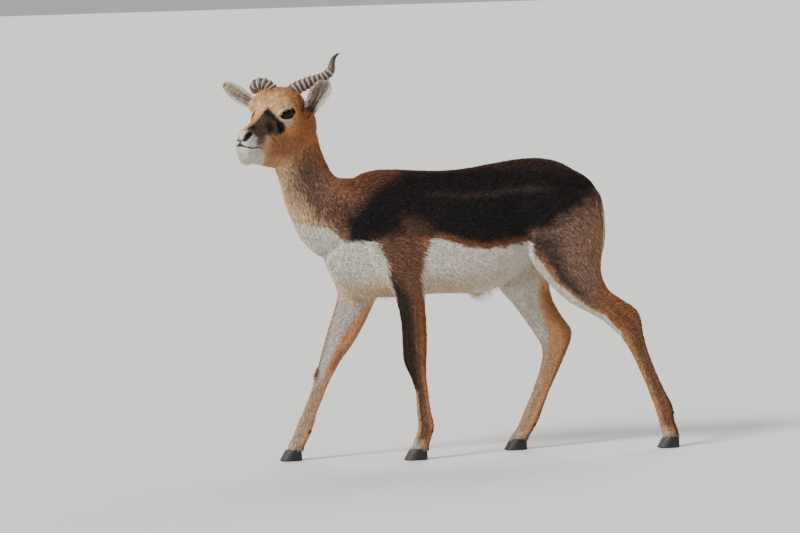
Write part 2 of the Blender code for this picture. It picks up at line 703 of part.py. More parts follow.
def toe(name, front, back, centre_y, group):
    """One toe's hoof: a wedge lofted from its flat sole up to the flat under the pastern."""
    length = back - front
    turn = np.linspace(0.0, 2 * math.pi, TOE_SIDES, endpoint=False)
    along = np.cos(turn)
    aside = np.sin(turn) * np.where(along < 0, 1.0 - TIP_SHARPNESS * along**2, 1.0)
    grid = []
    for share in TOE_LEVELS:
        swell = math.sin(math.pi * share)
        tip = front + length * TOE_LEAN * share
        heel = back + length * (HEEL_SWELL * swell - HEEL_DRAW * share)
        width = TOE_HALF_WIDTH * (1.0 - SIDE_DRAW * share + SIDE_SWELL * swell)
        x = (tip + heel) / 2 + (heel - tip) / 2 * along
        y = centre_y + width * aside
        grid.append(np.column_stack([x, y, np.full(TOE_SIDES, share * (HOOF_TOP - GAP))]))
    return add_object(name, closed_mesh(name, np.array(grid)), group)


def build_hooves(group):
    """Two toes on each foot."""
    made = {}
    for foot, (front, back, y) in FEET.items():
        offset = TOE_HALF_WIDTH + TOE_CLEFT / 2
        outer = offset if y > 0 else -offset
        for label, shift in (("outer", outer), ("inner", -outer)):
            name = f"hoof_{foot}_{label}"
            made[name] = toe(name, front, back, y + shift, group)
    return made


# soft forms on each side of the head: place and the three radii
HEAD_FORMS = [
    # brow and eye socket
    ((0.020, 0.0380, 0.017), (0.033, 0.0270, 0.027)),
    # forehead
    ((0.022, 0.0120, 0.012), (0.036, 0.0380, 0.034)),
    ((0.004, 0.0290, 0.034), (0.036, 0.0285, 0.028)),
    ((-0.026, 0.0240, 0.044), (0.026, 0.0240, 0.024)),
    # cheek
    ((-0.034, 0.0300, -0.072), (0.044, 0.0220, 0.048)),
    # side of the muzzle and wing of the nostril
    ((0.112, 0.0160, -0.070), (0.026, 0.0125, 0.024)),
    ((0.139, 0.0130, -0.058), (0.015, 0.0120, 0.016)),
    # upper and lower lip
    ((0.130, 0.0135, -0.0750), (0.025, 0.0145, 0.0090)),
    ((0.128, 0.0115, -0.0935), (0.024, 0.0150, 0.0085)),
]


def both(place):
    """A place on the head's left side and its mirror on the right."""
    return (place, (place[0], -place[1], place[2]))


def build_head(work_group, cut_group):
    """Head with brows, cheeks, eye sockets, lids, nostrils and the line of the mouth."""
    pieces = [
        add_object("skull", closed_mesh("skull", trunk_loft(HEAD, HEAD_STEP)), work_group, HEAD_MATRIX),
        add_object("neck top", side_loft("neck top", [(a, b, y, w) for a, b, w, y in NECK[3:]]),
                   work_group),
    ]
    for place, radii in HEAD_FORMS:
        for spot in both(place):
            pieces.append(ball("form", spot, radii, work_group, HEAD_MATRIX, 32, 16))
    head = fused("head", pieces, HEAD_VOXEL, HEAD_SMOOTHING, HEAD_TRIANGLES, work_group)
    cut = slab("head", HEAD_CUT, HEAD_NORMAL, HEAD_CUT_SIZE, cut_group)
    boolean(head, cut, "DIFFERENCE", "MANIFOLD")
    remove([cut])
    kept = None
    for thing in shells(head, work_group):
        if (centre_of(thing) - HEAD_CUT).dot(HEAD_NORMAL) > 0:
            kept = thing
        else:
            remove([thing])
    kept.name = "head"
    add_lids(kept, work_group)
    cut_face(kept, work_group)
    return kept


def facing_matrix(side):
    """Frame at an eye's centre: x forward along the lids, y up, z out along the way it looks."""
    out = Vector((EYE_FACING[0], EYE_FACING[1] * side, EYE_FACING[2])).normalized()
    lid_way = Vector((1.0, 0.0, LID_SLOPE))
    forward = (lid_way - out * out.dot(lid_way)).normalized()
    up = out.cross(forward) * side
    frame = Matrix((forward, up, out)).transposed().to_4x4()
    place = Vector((EYE_PLACE[0], EYE_PLACE[1] * side, EYE_PLACE[2]))
    return HEAD_MATRIX @ Matrix.Translation(place) @ frame


def lid_line(share, scale, height):
    """Almond line of the lids at a height above the eye's middle: share runs once round."""
    turn = 2 * math.pi * share
    x = scale * LID_LENGTH / 2 * math.cos(turn)
    y = scale * LID_HEIGHT / 2 * math.sin(turn) * (1.0 - LID_SHARPNESS * math.cos(turn) ** 2)
    return (x, y, height - LID_DROP * math.cos(turn) ** 2)


def add_lids(head, group):
    """A rim of lid round each eye, fused to the head, and the opening that shows the eye."""
    shares = [i / LID_STEPS for i in range(LID_STEPS)]
    lids = []
    for side in (1.0, -1.0):
        points = [Vector(lid_line(share, 1.0, LID_SEAT)) for share in shares]
        lids.append(ring_tube("lids", points, LID_ROLL, group, facing_matrix(side)))
    for lid in lids:
        boolean(head, lid, "UNION", "MANIFOLD")
    remove(lids)
    for side in (1.0, -1.0):
        grid = np.array([[lid_line(share, scale, height) for share in shares] for height, scale in SLIT])
        socket = ball("socket", (0.0, 0.0, 0.0), [radius + GAP for radius in EYE_RADII], group,
                      facing_matrix(side), 16, 10)
        slit = add_object("slit", closed_mesh("slit", grid), group, facing_matrix(side))
        boolean(head, socket, "DIFFERENCE", "MANIFOLD")
        boolean(head, slit, "DIFFERENCE", "MANIFOLD")
        remove([socket, slit])


def ring_tube(name, points, radius, group, matrix):
    """Closed tube through a ring of points."""
    count = len(points)
    sides = TUBE_SIDES
    rings = []
    for i, point in enumerate(points):
        ahead = (points[(i + 1) % count] - points[i - 1]).normalized()
        out = point.normalized()
        third = ahead.cross(out).normalized()
        ring = []
        for k in range(sides):
            turn = 2 * math.pi * k / sides
            ring.append(point + radius * (math.cos(turn) * out + math.sin(turn) * third))
        rings.append(ring)
    work = bmesh.new()
    grid = [[work.verts.new(p) for p in ring] for ring in rings]
    for i in range(count):
        for k in range(sides):
            work.faces.new((grid[i][k], grid[i][(k + 1) % sides],
                            grid[(i + 1) % count][(k + 1) % sides], grid[(i + 1) % count][k]))
    mesh = bpy.data.meshes.new(name)
    work.to_mesh(mesh)
    work.free()
    thing = add_object(name, mesh, group, matrix)
    outward(thing.data)
    return thing


def mouth_band(name, group):
    """Curved band that cuts the groove of the mouth.

    Its middle follows a rounded U round the muzzle, and its height the wave of the lips.
    """
    turn = np.linspace(-math.pi / 2, math.pi / 2, 2 * MOUTH_STEPS + 1)
    ahead = np.abs(np.cos(turn)) ** MOUTH_POWER * MOUTH_REACH[0]
    aside = np.sign(np.sin(turn)) * np.abs(np.sin(turn)) ** MOUTH_POWER * MOUTH_REACH[1]
    height = np.interp(np.abs(turn) / (math.pi / 2), *MOUTH_WAVE)
    rings = []
    for share, lift in ((0.80, -0.5), (0.80, 0.5), (1.45, 0.5), (1.45, -0.5)):
        rings.append(np.column_stack([MOUTH_BACK + ahead * share, aside * share,
                                      height + lift * MOUTH_OPENING]))
    return add_object(name, closed_mesh(name, np.stack(rings, axis=1)), group, HEAD_MATRIX)


def cut_face(head, group):
    """Nostrils and the groove of the mouth."""
    tools = [mouth_band("mouth", group)]
    for side in (1.0, -1.0):
        for place, radii in NOSTRIL:
            turn = Matrix.Rotation(NOSTRIL_TURN * side, 4, "Z") @ Matrix.Rotation(NOSTRIL_TILT, 4, "Y")
            spot = Matrix.Translation((place[0], place[1] * side, place[2]))
            tools.append(ball("nostril", (0.0, 0.0, 0.0), radii, group, HEAD_MATRIX @ spot @ turn, 14, 8))
    for tool in tools:
        boolean(head, tool, "DIFFERENCE", "MANIFOLD")
    remove(tools)


def horn(name, points, group):
    """A horn: a tapering tube along its line with raised rings on its lower part."""
    line = np.array(points)
    length = np.concatenate([[0.0], np.cumsum(np.linalg.norm(np.diff(line, axis=0), axis=1))])
    share_of = length / length[-1]
    shares = np.concatenate([np.linspace(0.0, RINGED_SHARE, HORN_RINGS * 3 + 5),
                             np.linspace(RINGED_SHARE, 1.0, HORN_TIP_STEPS)[1:]])
    middle = resample(line, share_of, shares)
    ahead = np.gradient(middle, shares, axis=0)
    ahead /= np.linalg.norm(ahead, axis=1)[:, None]
    girth = HORN_RADIUS * np.interp(shares, *HORN_TAPER)
    wave = np.clip((shares - PLAIN_ROOT) / (RINGED_SHARE - PLAIN_ROOT), 0.0, 1.0)
    swell = RING_HEIGHT * np.sin(math.pi * HORN_RINGS * wave) ** 2 * (1.0 - RING_FADE * wave)
    girth = girth + swell
    first = np.cross(ahead, np.array(HORN_ACROSS))
    first /= np.linalg.norm(first, axis=1)[:, None]
    second = np.cross(ahead, first)
    turn = np.linspace(0.0, 2 * math.pi, HORN_SIDES, endpoint=False)
    narrow = HORN_FLATNESS * np.sin(turn)[:, None]
    grid = (middle[:, None, :] + girth[:, None, None]
            * (np.cos(turn)[:, None] * first[:, None, :] + narrow * second[:, None, :]))
    return add_object(name, closed_mesh(name, grid), group, HEAD_MATRIX)


def ear(name, spec, group):
    """A leaf-shaped cup: a curled sheet from a narrow root to a rounded tip, made solid.

    Across the leaf the sheet follows an arc whose half angle falls from the root to the tip.
    """
    root, direction, facing, length, half_width = spec
    along = Vector(direction).normalized()
    face = Vector(facing)
    face = (face - along * face.dot(along)).normalized()
    wide = along.cross(face)
    frame = Matrix((wide, along, face)).transposed().to_4x4()
    matrix = HEAD_MATRIX @ Matrix.Translation(root) @ frame
    u = np.linspace(EAR_LOBE[0][0], 1.0, EAR_ROWS)
    v = np.linspace(-1.0, 1.0, EAR_COLUMNS)
    lobe = np.interp(u, *EAR_LOBE) * half_width
    curl = np.radians(np.interp(u, *EAR_CURL))
    angle = v[None, :] * curl[:, None]
    bend = lobe[:, None] / np.sin(np.minimum(curl, math.pi / 2))[:, None]
    x = bend * np.sin(angle)
    z = -bend * np.cos(angle) + bend * EAR_BOWL
    y = (u * length)[:, None] + 0.0 * x
    sheet = np.stack([x, y, z], axis=-1)
    normal = np.stack([np.sin(angle), 0.0 * angle, -np.cos(angle)], axis=-1)
    half = EAR_THICKNESS / 2 * np.interp(u, *EAR_SHEET)[:, None, None]
    outer = sheet + normal * half
    inner = sheet - normal * half
    # each row becomes a ring: out along the back of the leaf and home along its inside
    grid = np.concatenate([outer, inner[:, ::-1]], axis=1)
    mesh = closed_leaf(name, grid)
    return add_object(name, mesh, group, matrix)


def closed_leaf(name, grid):
    """Closed mesh of rings whose ends are strips: the first half of a ring faces the second."""
    rings, sides = grid.shape[:2]
    half = sides // 2
    ring = np.arange(rings - 1)[:, None] * sides
    spot = np.arange(sides)[None, :]
    ahead = (spot + 1) % sides
    quads = np.stack([ring + spot, ring + ahead, ring + sides + ahead, ring + sides + spot], axis=-1)
    faces = quads.reshape(-1, 4).tolist()
    base = (rings - 1) * sides
    for i in range(half - 1):
        faces.append((i + 1, i, sides - 1 - i, sides - 2 - i))
        faces.append((base + i, base + i + 1, base + sides - 2 - i, base + sides - 1 - i))
    mesh = bpy.data.meshes.new(name)
    mesh.from_pydata(grid.reshape(-1, 3).tolist(), [], faces)
    outward(mesh)
    return mesh


def swollen(thing, by, group):
    """Copy of an object grown by a little along its normals, used as a cutter."""
    copy = add_object(thing.name + " clearance", thing.data.copy(), group)
    moved = np.empty(len(copy.data.vertices) * 3)
    normals = np.empty(len(copy.data.vertices) * 3)
    copy.data.vertices.foreach_get("co", moved)
    copy.data.vertices.foreach_get("normal", normals)
    copy.data.vertices.foreach_set("co", moved + by * normals)
    return copy


def ear_seat(thing, group):
    """Convex block round an ear's root, so that the head does not fill the bottom of its cup."""
    count = int(EAR_SEAT * EAR_ROWS) + 1
    points = [vertex.co.copy() for vertex in thing.data.vertices][:count * 2 * EAR_COLUMNS]
    work = bmesh.new()
    for point in points:
        work.verts.new(point)
    bmesh.ops.convex_hull(work, input=work.verts)
    bmesh.ops.delete(work, geom=[v for v in work.verts if not v.link_faces], context="VERTS")
    bmesh.ops.triangulate(work, faces=work.faces)
    mesh = bpy.data.meshes.new("ear seat")
    work.to_mesh(mesh)
    work.free()
    outward(mesh)
    return add_object("ear seat", mesh, group)


def add_claws(pastern, name, group):
    """The pair of small claws behind a fetlock, fused to the pastern."""
    x, y, z = DEWCLAWS[name]
    for side in (1.0, -1.0):
        spot = Matrix.Translation((x, y + CLAW_SPREAD * side, z))
        tilt = Matrix.Rotation(CLAW_TILT, 4, "Y")
        claw = ball("claw", (0.0, 0.0, 0.0), CLAW_SIZE, group, spot @ tilt, 10, 6)
        boolean(pastern, claw, "UNION", "MANIFOLD")
        remove([claw])


def build_trim(parts, work_group):
    """Eyes, horns, ears and tail, each cleared by a small gap from what it grows out of."""
    for side, label in ((1.0, "left"), (-1.0, "right")):
        parts[f"eye_{label}"] = ball(f"eye_{label}", (0.0, 0.0, 0.0), EYE_RADII, work_group,
                                     facing_matrix(side), 16, 10)
    parts["horn_left"] = horn("horn_left", LEFT_HORN, work_group)
    parts["horn_right"] = horn("horn_right", RIGHT_HORN, work_group)
    for label, spec in (("left", LEFT_EAR), ("right", RIGHT_EAR)):
        parts[f"ear_{label}"] = ear(f"ear_{label}", spec, work_group)
        seat = ear_seat(parts[f"ear_{label}"], work_group)
        rooms = [seat]
        for kind in ("ear", "horn"):
            rooms.append(swollen(parts[f"{kind}_{label}"], ROOM, work_group))
        for room in rooms:
            boolean(parts["head"], room, "DIFFERENCE", "MANIFOLD")
        remove(rooms)
    parts["tail"] = add_object("tail", side_loft("tail", TAIL, sides=12), work_group)
    room = swollen(parts["tail"], ROOM, work_group)
    boolean(parts["torso"], room, "DIFFERENCE", "MANIFOLD")
    remove([room])
    for name in DEWCLAWS:
        add_claws(parts[name], name, work_group)


def centre_parts(things):
    """Move everything so that the origin lies on the floor below the middle of the whole."""
    corners = np.array([vertex.co for thing in things for vertex in thing.data.vertices])
    middle = (corners.min(axis=0) + corners.max(axis=0)) / 2
    for thing in things:
        thing.data.transform(Matrix.Translation((-middle[0], -middle[1], 0.0)))


def main():
    """Build the whole animal."""
    clear_scene()
    animal = collection("blackbuck")
    work_group = collection("working pieces")
    cut_group = collection("cutters")
    cut_group.hide_render = True
    parts = build_body(work_group, cut_group)
    parts["head"] = build_head(work_group, cut_group)
    parts.update(build_hooves(work_group))
    build_trim(parts, work_group)
    centre_parts(list(parts.values()))
    for name, thing in parts.items():
        thing.name = name
        largest(thing.data)
        work_group.objects.unlink(thing)
        animal.objects.link(thing)
        kind = name.split("_")[0]
        if kind == "hoof":
            look = material("hoof horn", HOOF_COLOUR, 0.45)
        elif kind == "eye":
            look = material("eye", EYE_COLOUR, 0.05)
        elif kind == "horn":
            look = material("horn", HORN_COLOUR, 0.6)
        elif kind in FLESH_COLOURS:
            look = material(kind + " hide", FLESH_COLOURS[kind], 0.85)
        else:
            look = material("leg hide", FLESH_COLOURS["leg"], 0.85)
        thing.data.materials.clear()
        thing.data.materials.append(look)
        thing.data.shade_smooth()
    for group in (work_group, cut_group):
        bpy.data.collections.remove(group)


if __name__ == "__main__":
    main()
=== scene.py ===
"""Dresses the life-size blackbuck: skin, coat, eyes, horns, hooves and stage.

The skin repeats the lofts of the solid model, melted into one surface, and carries the coat's
markings as a colour attribute. The coat is a mesh of small locks rooted on the skin.
"""

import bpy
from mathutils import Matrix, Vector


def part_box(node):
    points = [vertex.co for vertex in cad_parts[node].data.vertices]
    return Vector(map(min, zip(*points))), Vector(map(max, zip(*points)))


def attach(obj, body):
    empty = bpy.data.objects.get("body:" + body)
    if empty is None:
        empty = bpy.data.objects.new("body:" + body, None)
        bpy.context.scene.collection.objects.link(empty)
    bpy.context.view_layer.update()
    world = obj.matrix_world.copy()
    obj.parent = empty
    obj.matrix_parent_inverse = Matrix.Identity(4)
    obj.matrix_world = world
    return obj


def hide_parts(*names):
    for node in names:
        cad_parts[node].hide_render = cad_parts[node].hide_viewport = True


bl_info = {
    "name": "Blackbuck model",
    "version": (1, 0, 0),
    "blender": (4, 5, 0),
    "location": "View3D > Sidebar > Blackbuck",
    "description": "Builds the skin, coat, eyes, horns and hooves of a life-size blackbuck",
    "category": "Add Mesh",
}

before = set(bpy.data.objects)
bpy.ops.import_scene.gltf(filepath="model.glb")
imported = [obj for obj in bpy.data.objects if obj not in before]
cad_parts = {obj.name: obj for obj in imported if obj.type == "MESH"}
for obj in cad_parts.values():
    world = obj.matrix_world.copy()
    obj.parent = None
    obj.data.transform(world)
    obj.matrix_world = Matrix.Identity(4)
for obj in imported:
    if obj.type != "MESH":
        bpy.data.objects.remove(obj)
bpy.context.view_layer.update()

import math
from collections import namedtuple

import bmesh
import bpy
import numpy as np
from mathutils import Matrix, Vector
from mathutils.bvhtree import BVHTree


def mm(rows, lengths=None):
    """Array of rows given in millimetres, all of it or as many of its columns as lengths says."""
    rows = np.array(rows, dtype=float)
    rows[:, :lengths] /= 1000.0
    return rows


# the tables below are in the solid model's drawing frame; this is how far it was moved to centre it
SOLE_FRONT = -0.137
SOLE_MIDDLE = -0.083
low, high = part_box("hoof_fore_left_outer")
SHIFT = np.array([low[0] - SOLE_FRONT, (low[1] + high[1]) / 2 - SOLE_MIDDLE, 0.0])
SHIFT_MATRIX = Matrix.Translation(Vector(SHIFT))

# the head's own frame: forward along the mouth line, left and up
HEAD_ORIGIN = Vector((-0.444, -0.044, 0.918))
HEAD_YAW = math.radians(41.0)
HEAD_PITCH = math.radians(1.5)
HEAD_ROLL = math.radians(-2.0)
# where the head ends and the neck begins: a cut behind the jaw, and the lowest height of the head
JAW_CUT = np.array([-0.392, -0.012, 0.836])
JAW_CUT_WAY = np.array([-0.60, -0.22, 0.77])
JAW_FLOOR = 0.72
SIDES = (("left", 1.0), ("right", -1.0))

# eyes in the head's frame, and the half sizes of iris and pupil
EYE_RADII = (0.0195, 0.0165, 0.0150)
EYE_PLACE = (0.020, 0.0485, 0.003)
EYE_FACING = (0.42, 0.90, 0.06)
LID_SLOPE = -0.25
# the almond of the lids in the eye's frame: middle, half length, half height, sharpness of its ends
LID_MIDDLE = (-0.0005, 0.0004)
LID_HALF = (0.0225, 0.0122)
LID_SHARPNESS = 0.22
LID_THICKNESS = 0.0022
IRIS_HALF = (0.0125, 0.0105)
PUPIL_HALF = (0.0078, 0.0044)
# the dark tear line before the eye, how far round the eye the skin is read, and the pit's floor
TEAR_PLACE = (0.0245, 0.0020)
TEAR_HALF = (0.0075, 0.0026)
EYE_SURROUND = (0.055, 0.045, 0.035)
EYE_BED = -0.004

# trunk: top (x, z), bottom (x, z), half width, how far the width sits low
TORSO = mm([
    (-330, 610, -318, 520, 38, 0.05), (-298, 690, -292, 472, 64, 0.05),
    (-250, 737, -240, 440, 80, 0.05), (-190, 760, -185, 428, 88, 0.08), (-130, 762, -125, 426, 94, 0.1),
    (-66, 757, -60, 430, 100, 0.14), (0, 754, 5, 430, 106, 0.18), (70, 758, 78, 428, 107, 0.18),
    (140, 768, 140, 440, 102, 0.14), (200, 776, 195, 470, 96, 0.05), (260, 777, 250, 500, 94, 0),
    (310, 767, 310, 520, 90, 0), (355, 744, 360, 530, 78, 0), (392, 719, 396, 550, 56, 0),
    (416, 690, 414, 590, 28, 0),
], 5)
# neck: front (x, z), back (x, z), middle y, half width
NECK = mm([
    (-270, 530, -140, 690, 0, 80), (-345, 548, -200, 742, 0, 77), (-384, 590, -244, 743, 0, 69),
    (-410, 649, -287, 752, 0, 59), (-425, 694, -311, 793, 0, 54), (-435, 737, -325, 832, -3, 51),
    (-450, 780, -333, 868, -10, 50), (-462, 815, -338, 905, -16, 48), (-455, 870, -350, 930, -20, 36),
])
# legs: front (x, z), back (x, z), distance from the middle, half width
FORE_LEFT = mm([
    (-235, 640, -90, 650, 52, 30), (-235, 560, -58, 580, 64, 36), (-196, 490, -50, 500, 71, 33),
    (-152, 434, -70, 432, 74, 27), (-136, 366, -70, 364, 75, 23.5), (-134, 310, -70, 308, 77, 22.5),
    (-130, 255, -73, 254, 76, 22.5), (-116, 222, -74, 222, 75, 20), (-103.5, 181, -69.5, 181, 74, 15),
    (-101, 130, -64, 130, 73, 14.5), (-98.5, 88, -56, 86, 72, 19), (-107.5, 55, -64, 55, 71, 17.5),
    (-116, 32, -72, 31, 70, 22), (-116, 20, -74, 19, 70, 20),
])
FORE_RIGHT = mm([
    (-265, 630, -110, 640, 52, 30), (-300, 560, -110, 570, 62, 36), (-293, 490, -130, 490, 70, 33),
    (-274, 431, -178, 407, 71, 28), (-286, 386, -203, 358, 73, 24.5), (-303, 339, -234, 308, 71, 23),
    (-324, 274, -274, 256, 70, 22.5), (-334, 238, -294, 223, 70, 20.5), (-344, 209, -308, 197, 70, 16),
    (-357.5, 173, -323.5, 161, 70, 15), (-373, 137, -339, 127, 70, 14.5), (-391, 100, -351, 88, 70, 19),
    (-405, 67, -365, 57, 70, 17.5), (-420, 36, -379, 31, 70, 22), (-421, 23, -383, 19, 70, 20),
])
HIND_LEFT = mm([
    (225, 705, 392, 690, 40, 40), (190, 610, 412, 620, 55, 50), (210, 525, 414, 545, 63, 50),
    (255, 460, 408, 474, 69, 43), (320, 397, 424, 427, 73, 32), (396, 352, 454, 402, 75, 24.5),
    (454, 300, 506, 357, 76, 20.5), (476, 268, 517.5, 294, 77, 18.5), (504, 208, 541.5, 218, 78, 15.5),
    (528, 148, 567, 158, 78, 15), (546, 96, 590.5, 107, 78, 19), (555, 62, 595, 70, 78, 17.5),
    (561, 36, 605, 37, 78, 21.5), (564, 22, 605, 22, 78, 19.5),
])
HIND_RIGHT = mm([
    (215, 705, 385, 690, 40, 40), (150, 610, 395, 620, 55, 50), (140, 525, 360, 530, 62, 50),
    (164, 432, 300, 456, 66, 41), (200, 388, 304, 401, 67, 33), (229, 346, 327, 356, 67, 26),
    (254, 308, 355, 312, 67, 21.5), (271, 280, 354, 289, 67, 20), (276, 252, 337, 247, 67, 19),
    (270, 221, 321, 214, 67, 17.5), (246, 155, 289, 148, 67, 15.5), (232, 125, 276, 117, 67, 15.5),
    (214, 85, 260, 78, 67, 19), (200, 57, 244, 50, 67, 17.5), (183, 34, 229, 30, 67, 21.5),
    (180, 22, 224, 20, 67, 19.5),
])
LEGS = {"fore_left": (FORE_LEFT, -1.0), "fore_right": (FORE_RIGHT, 1.0),
        "hind_left": (HIND_LEFT, -1.0), "hind_right": (HIND_RIGHT, 1.0)}
LEG_NAMES = tuple(LEGS)
TAIL = mm([
    (386, 690, 402, 708, 0, 17), (401, 668, 423, 684, 0, 19), (412, 640, 434, 648, 0, 20),
    (415, 600, 439, 602, 0, 20), (415, 560, 438, 560, 0, 18), (416, 530, 434, 530, 0, 13),
    (422, 512, 428, 512, 0, 4),
])
# skull: top (forward, up), bottom (forward, up), half width, how low the width sits, squareness
HEAD = mm([
    (156, -63, 153, -93, 12, 0, 2.3), (151.5, -50, 147.5, -110.5, 21.5, 0, 2.3),
    (138, -37, 132, -121.5, 26, 0.05, 2.3), (114, -25, 104, -126, 27.5, 0.05, 2.3),
    (90, -10, 72, -130, 31, 0, 2.3), (68, 8, 40, -135, 38.5, -0.14, 2.4),
    (52, 26, 12, -139, 47, -0.28, 2.6), (34, 46, -14, -140, 54.5, -0.3, 2.9),
    (4, 61, -38, -135, 56.5, -0.22, 2.8), (-34, 67, -60, -125, 52, -0.1, 2.4),
    (-70, 55, -78, -105, 45, 0, 2.3), (-96, 30, -92, -70, 30, 0, 2.2),
], 5)
# soft forms on both sides of the head: place and radii
HEAD_FORMS = mm([
    (20, 38, 17, 33, 27, 27), (22, 12, 12, 36, 38, 34), (4, 29, 34, 36, 28.5, 28),
    (-26, 24, 44, 26, 24, 24), (-34, 30, -72, 44, 22, 48), (112, 16, -70, 26, 12.5, 24),
    (139, 13, -58, 15, 12, 16), (130, 13.5, -75, 25, 14.5, 9), (128, 11.5, -93.5, 24, 15, 8.5),
])
BELLY_TUFT = ((0.084, 0.0, 0.430), (0.016, 0.008, 0.010))
TAIL_ROOT = (0.400, 0.0, 0.692)
# squareness of trunk and limbs, and the spacing of the skull's rings
TRUNK_POWER = 2.25
LIMB_POWER = 2.2
SKULL_STEP = 0.006
# depth of the groove between bone and tendon, narrowing of the muzzle and slope of its front
TENDON_GROOVE = 0.0018
MUZZLE_TAPER = 0.20
MUZZLE_SLOPE = 0.0035

# horns: middle line in the head's frame
HORN_LEFT = mm([
    (-10, 16, 36), (-21, 26, 55), (-32, 34, 67), (-48, 48, 78), (-66, 63, 87), (-79, 73, 92),
    (-93, 82, 99), (-102, 88, 108), (-110, 91, 118), (-113, 91, 131), (-118, 93, 147), (-125, 97, 156),
    (-133, 102, 161),
])
HORN_RIGHT = mm([
    (-24, -22, 34), (-23, -32, 56), (-20, -42, 69), (-14, -54, 77), (-9, -67, 78), (-10, -80, 73),
    (-20, -91, 66), (-36, -97, 63), (-56, -98, 65), (-78, -95, 71), (-96, -90, 80),
])
HORN_RADIUS = 0.0180
HORN_ROWS = 260
HORN_SIDES = 40
HORN_RINGS = 9
RING_HEIGHT = 0.0032
RING_CREST = 0.62
PLAIN_ROOT = 0.16
RINGED_SHARE = 0.72
HORN_FLATNESS = 0.88
HORN_ACROSS = (0.3, 1.0, 0.2)
HORN_TAPER = ((0.0, 0.2, 0.5, RINGED_SHARE, 0.86, 1.0), (1.0, 0.98, 0.84, 0.66, 0.42, 0.07))

# ears: root, direction, way the cup faces, length and half width; then over the share of the
# length from the root the half width, the half angle of the curl and the thickness of the wall
EARS = {
    "left": ((-0.056, 0.052, -0.002), (0.02, 0.61, 0.79), (0.70, 0.50, -0.35), 0.116, 0.0262),
    "right": ((-0.034, -0.060, 0.000), (0.36, -0.77, 0.54), (0.86, 0.50, 0.10), 0.143, 0.0200),
}
EAR_LOBE = ((-0.12, 0.0, 0.12, 0.30, 0.50, 0.68, 0.84, 0.94, 1.0),
            (0.42, 0.45, 0.54, 0.74, 0.95, 1.0, 0.83, 0.54, 0.20))
EAR_CURL = ((-0.12, 0.0, 0.3, 0.6, 1.0), (150.0, 140.0, 92.0, 60.0, 40.0))
EAR_BOWL = 0.4
EAR_ROWS = 56
EAR_COLUMNS = 25
EAR_FLESH = 0.0026
EAR_WALL = ((-0.12, 0.2, 1.0), (1.3, 1.0, 0.5))
EAR_ROOT_SPAN = (-0.12, 0.10)
EAR_ROOT_SIZE = ((-0.12, 0.0, 0.10), (1.0, 1.0, 0.6))
EAR_ROOT_DROP = 0.004
EAR_FLECK = 0.08

# soles in the drawing frame: front, back and middle; then the shape of a toe
FEET = {
    "fore_left": (-0.137, -0.078, -0.070),
    "fore_right": (-0.442, -0.386, 0.070),
    "hind_left": (0.548, 0.603, -0.078),
    "hind_right": (0.166, 0.223, 0.067),
}
TOE_HALF_WIDTH = 0.0115
TOE_CLEFT = 0.0030
TOE_LEAN = 0.30
HOOF_TOP = 0.030
# levels of a hoof as shares of its height, and how wide it is there
HOOF_LEVELS = ((0.0, 0.03, 0.10, 0.25, 0.45, 0.65, 0.82, 0.93, 0.98, 1.0),
               (0.95, 1.0, 1.0, 1.0, 1.0, 1.0, 0.98, 0.94, 0.86, 0.72))
# small claws behind the fetlocks: place between the two, and their shape
DEWCLAWS = {
    "fore_left": (-0.0635, -0.072, 0.073),
    "fore_right": (-0.3620, 0.070, 0.074),
    "hind_left": (0.5880, -0.078, 0.089),
    "hind_right": (0.2470, 0.067, 0.065),
}
CLAW_SPREAD = 0.0092
CLAW_BACK = 0.0025
CLAW_RADII = (0.0095, 0.0048, 0.0055)
CLAW_TILT = math.radians(-55.0)

# skin resolution: voxels, smoothing passes, and triangles kept
VOXEL = 0.0022
HEAD_PASSES = 16
BODY_PASSES = 26
SKIN_TRIANGLES = 168000

# borders of the coat pieces: where the neck begins and its slanting lower edge (x, height, slope),
# the strip of belly between the legs (half width, lowest height), where the legs begin beside it
# and within it, and where the face begins on the head
NECK_START = -0.22
NECK_EDGE = (-0.30, 0.640, -0.4)
BELLY_STRIP = (0.035, 0.40)
LEG_TOP = 0.50
INNER_LEG_TOP = 0.42
FACE_START = 0.035
# coat pieces of the trunk and where each one begins, as x
FLANK_EDGES = (("flank_middle", 0.22), ("flank_front", 0.02), ("chest", -0.17))
# spans of the unwrap: top and length of the legs, rows of the neck, start and length of the head,
# the height of its middle line, start and length of the trunk, and the height of its middle along it
LEG_SPAN = (0.62, 0.60)
NECK_SPAN = 8.0
HEAD_SPAN = (-0.15, 0.31)
HEAD_AXIS = -0.04
TRUNK_SPAN = (-0.36, 0.82)
TRUNK_MIDDLE = ((-0.33, 0.0, 0.42), (0.59, 0.59, 0.64))
# half size of a lock's patch on the unwrap, brightest hair, and the painted shade that darkens the skin
# under the hair
PATCH_HALF = 0.0015
BRIGHTEST = 0.95
HIDE_PAINTED_SHADE = 0.9

# camera: bearing and height it looks from, its distance, and the width it sees
CAMERA_BEARING = math.radians(-12.0)
CAMERA_HEIGHT = 0.0624
CAMERA_ROLL = 0.0297
CAMERA_DISTANCE = 14.0
VIEW_WIDTH = 2.104
VIEW_CENTRE = (-0.1191, 0.0, 0.505)

LEG_PARTS = (("fore_leg", "fore_cannon", "fore_pastern"),
             ("thigh", "hind_shank", "hind_cannon", "hind_pastern"))
FLESH_NODES = ["torso", "neck", "head", "ear_left", "ear_right", "tail",
               *(f"{part}_{side}" for parts in LEG_PARTS for side, _ in SIDES for part in parts)]


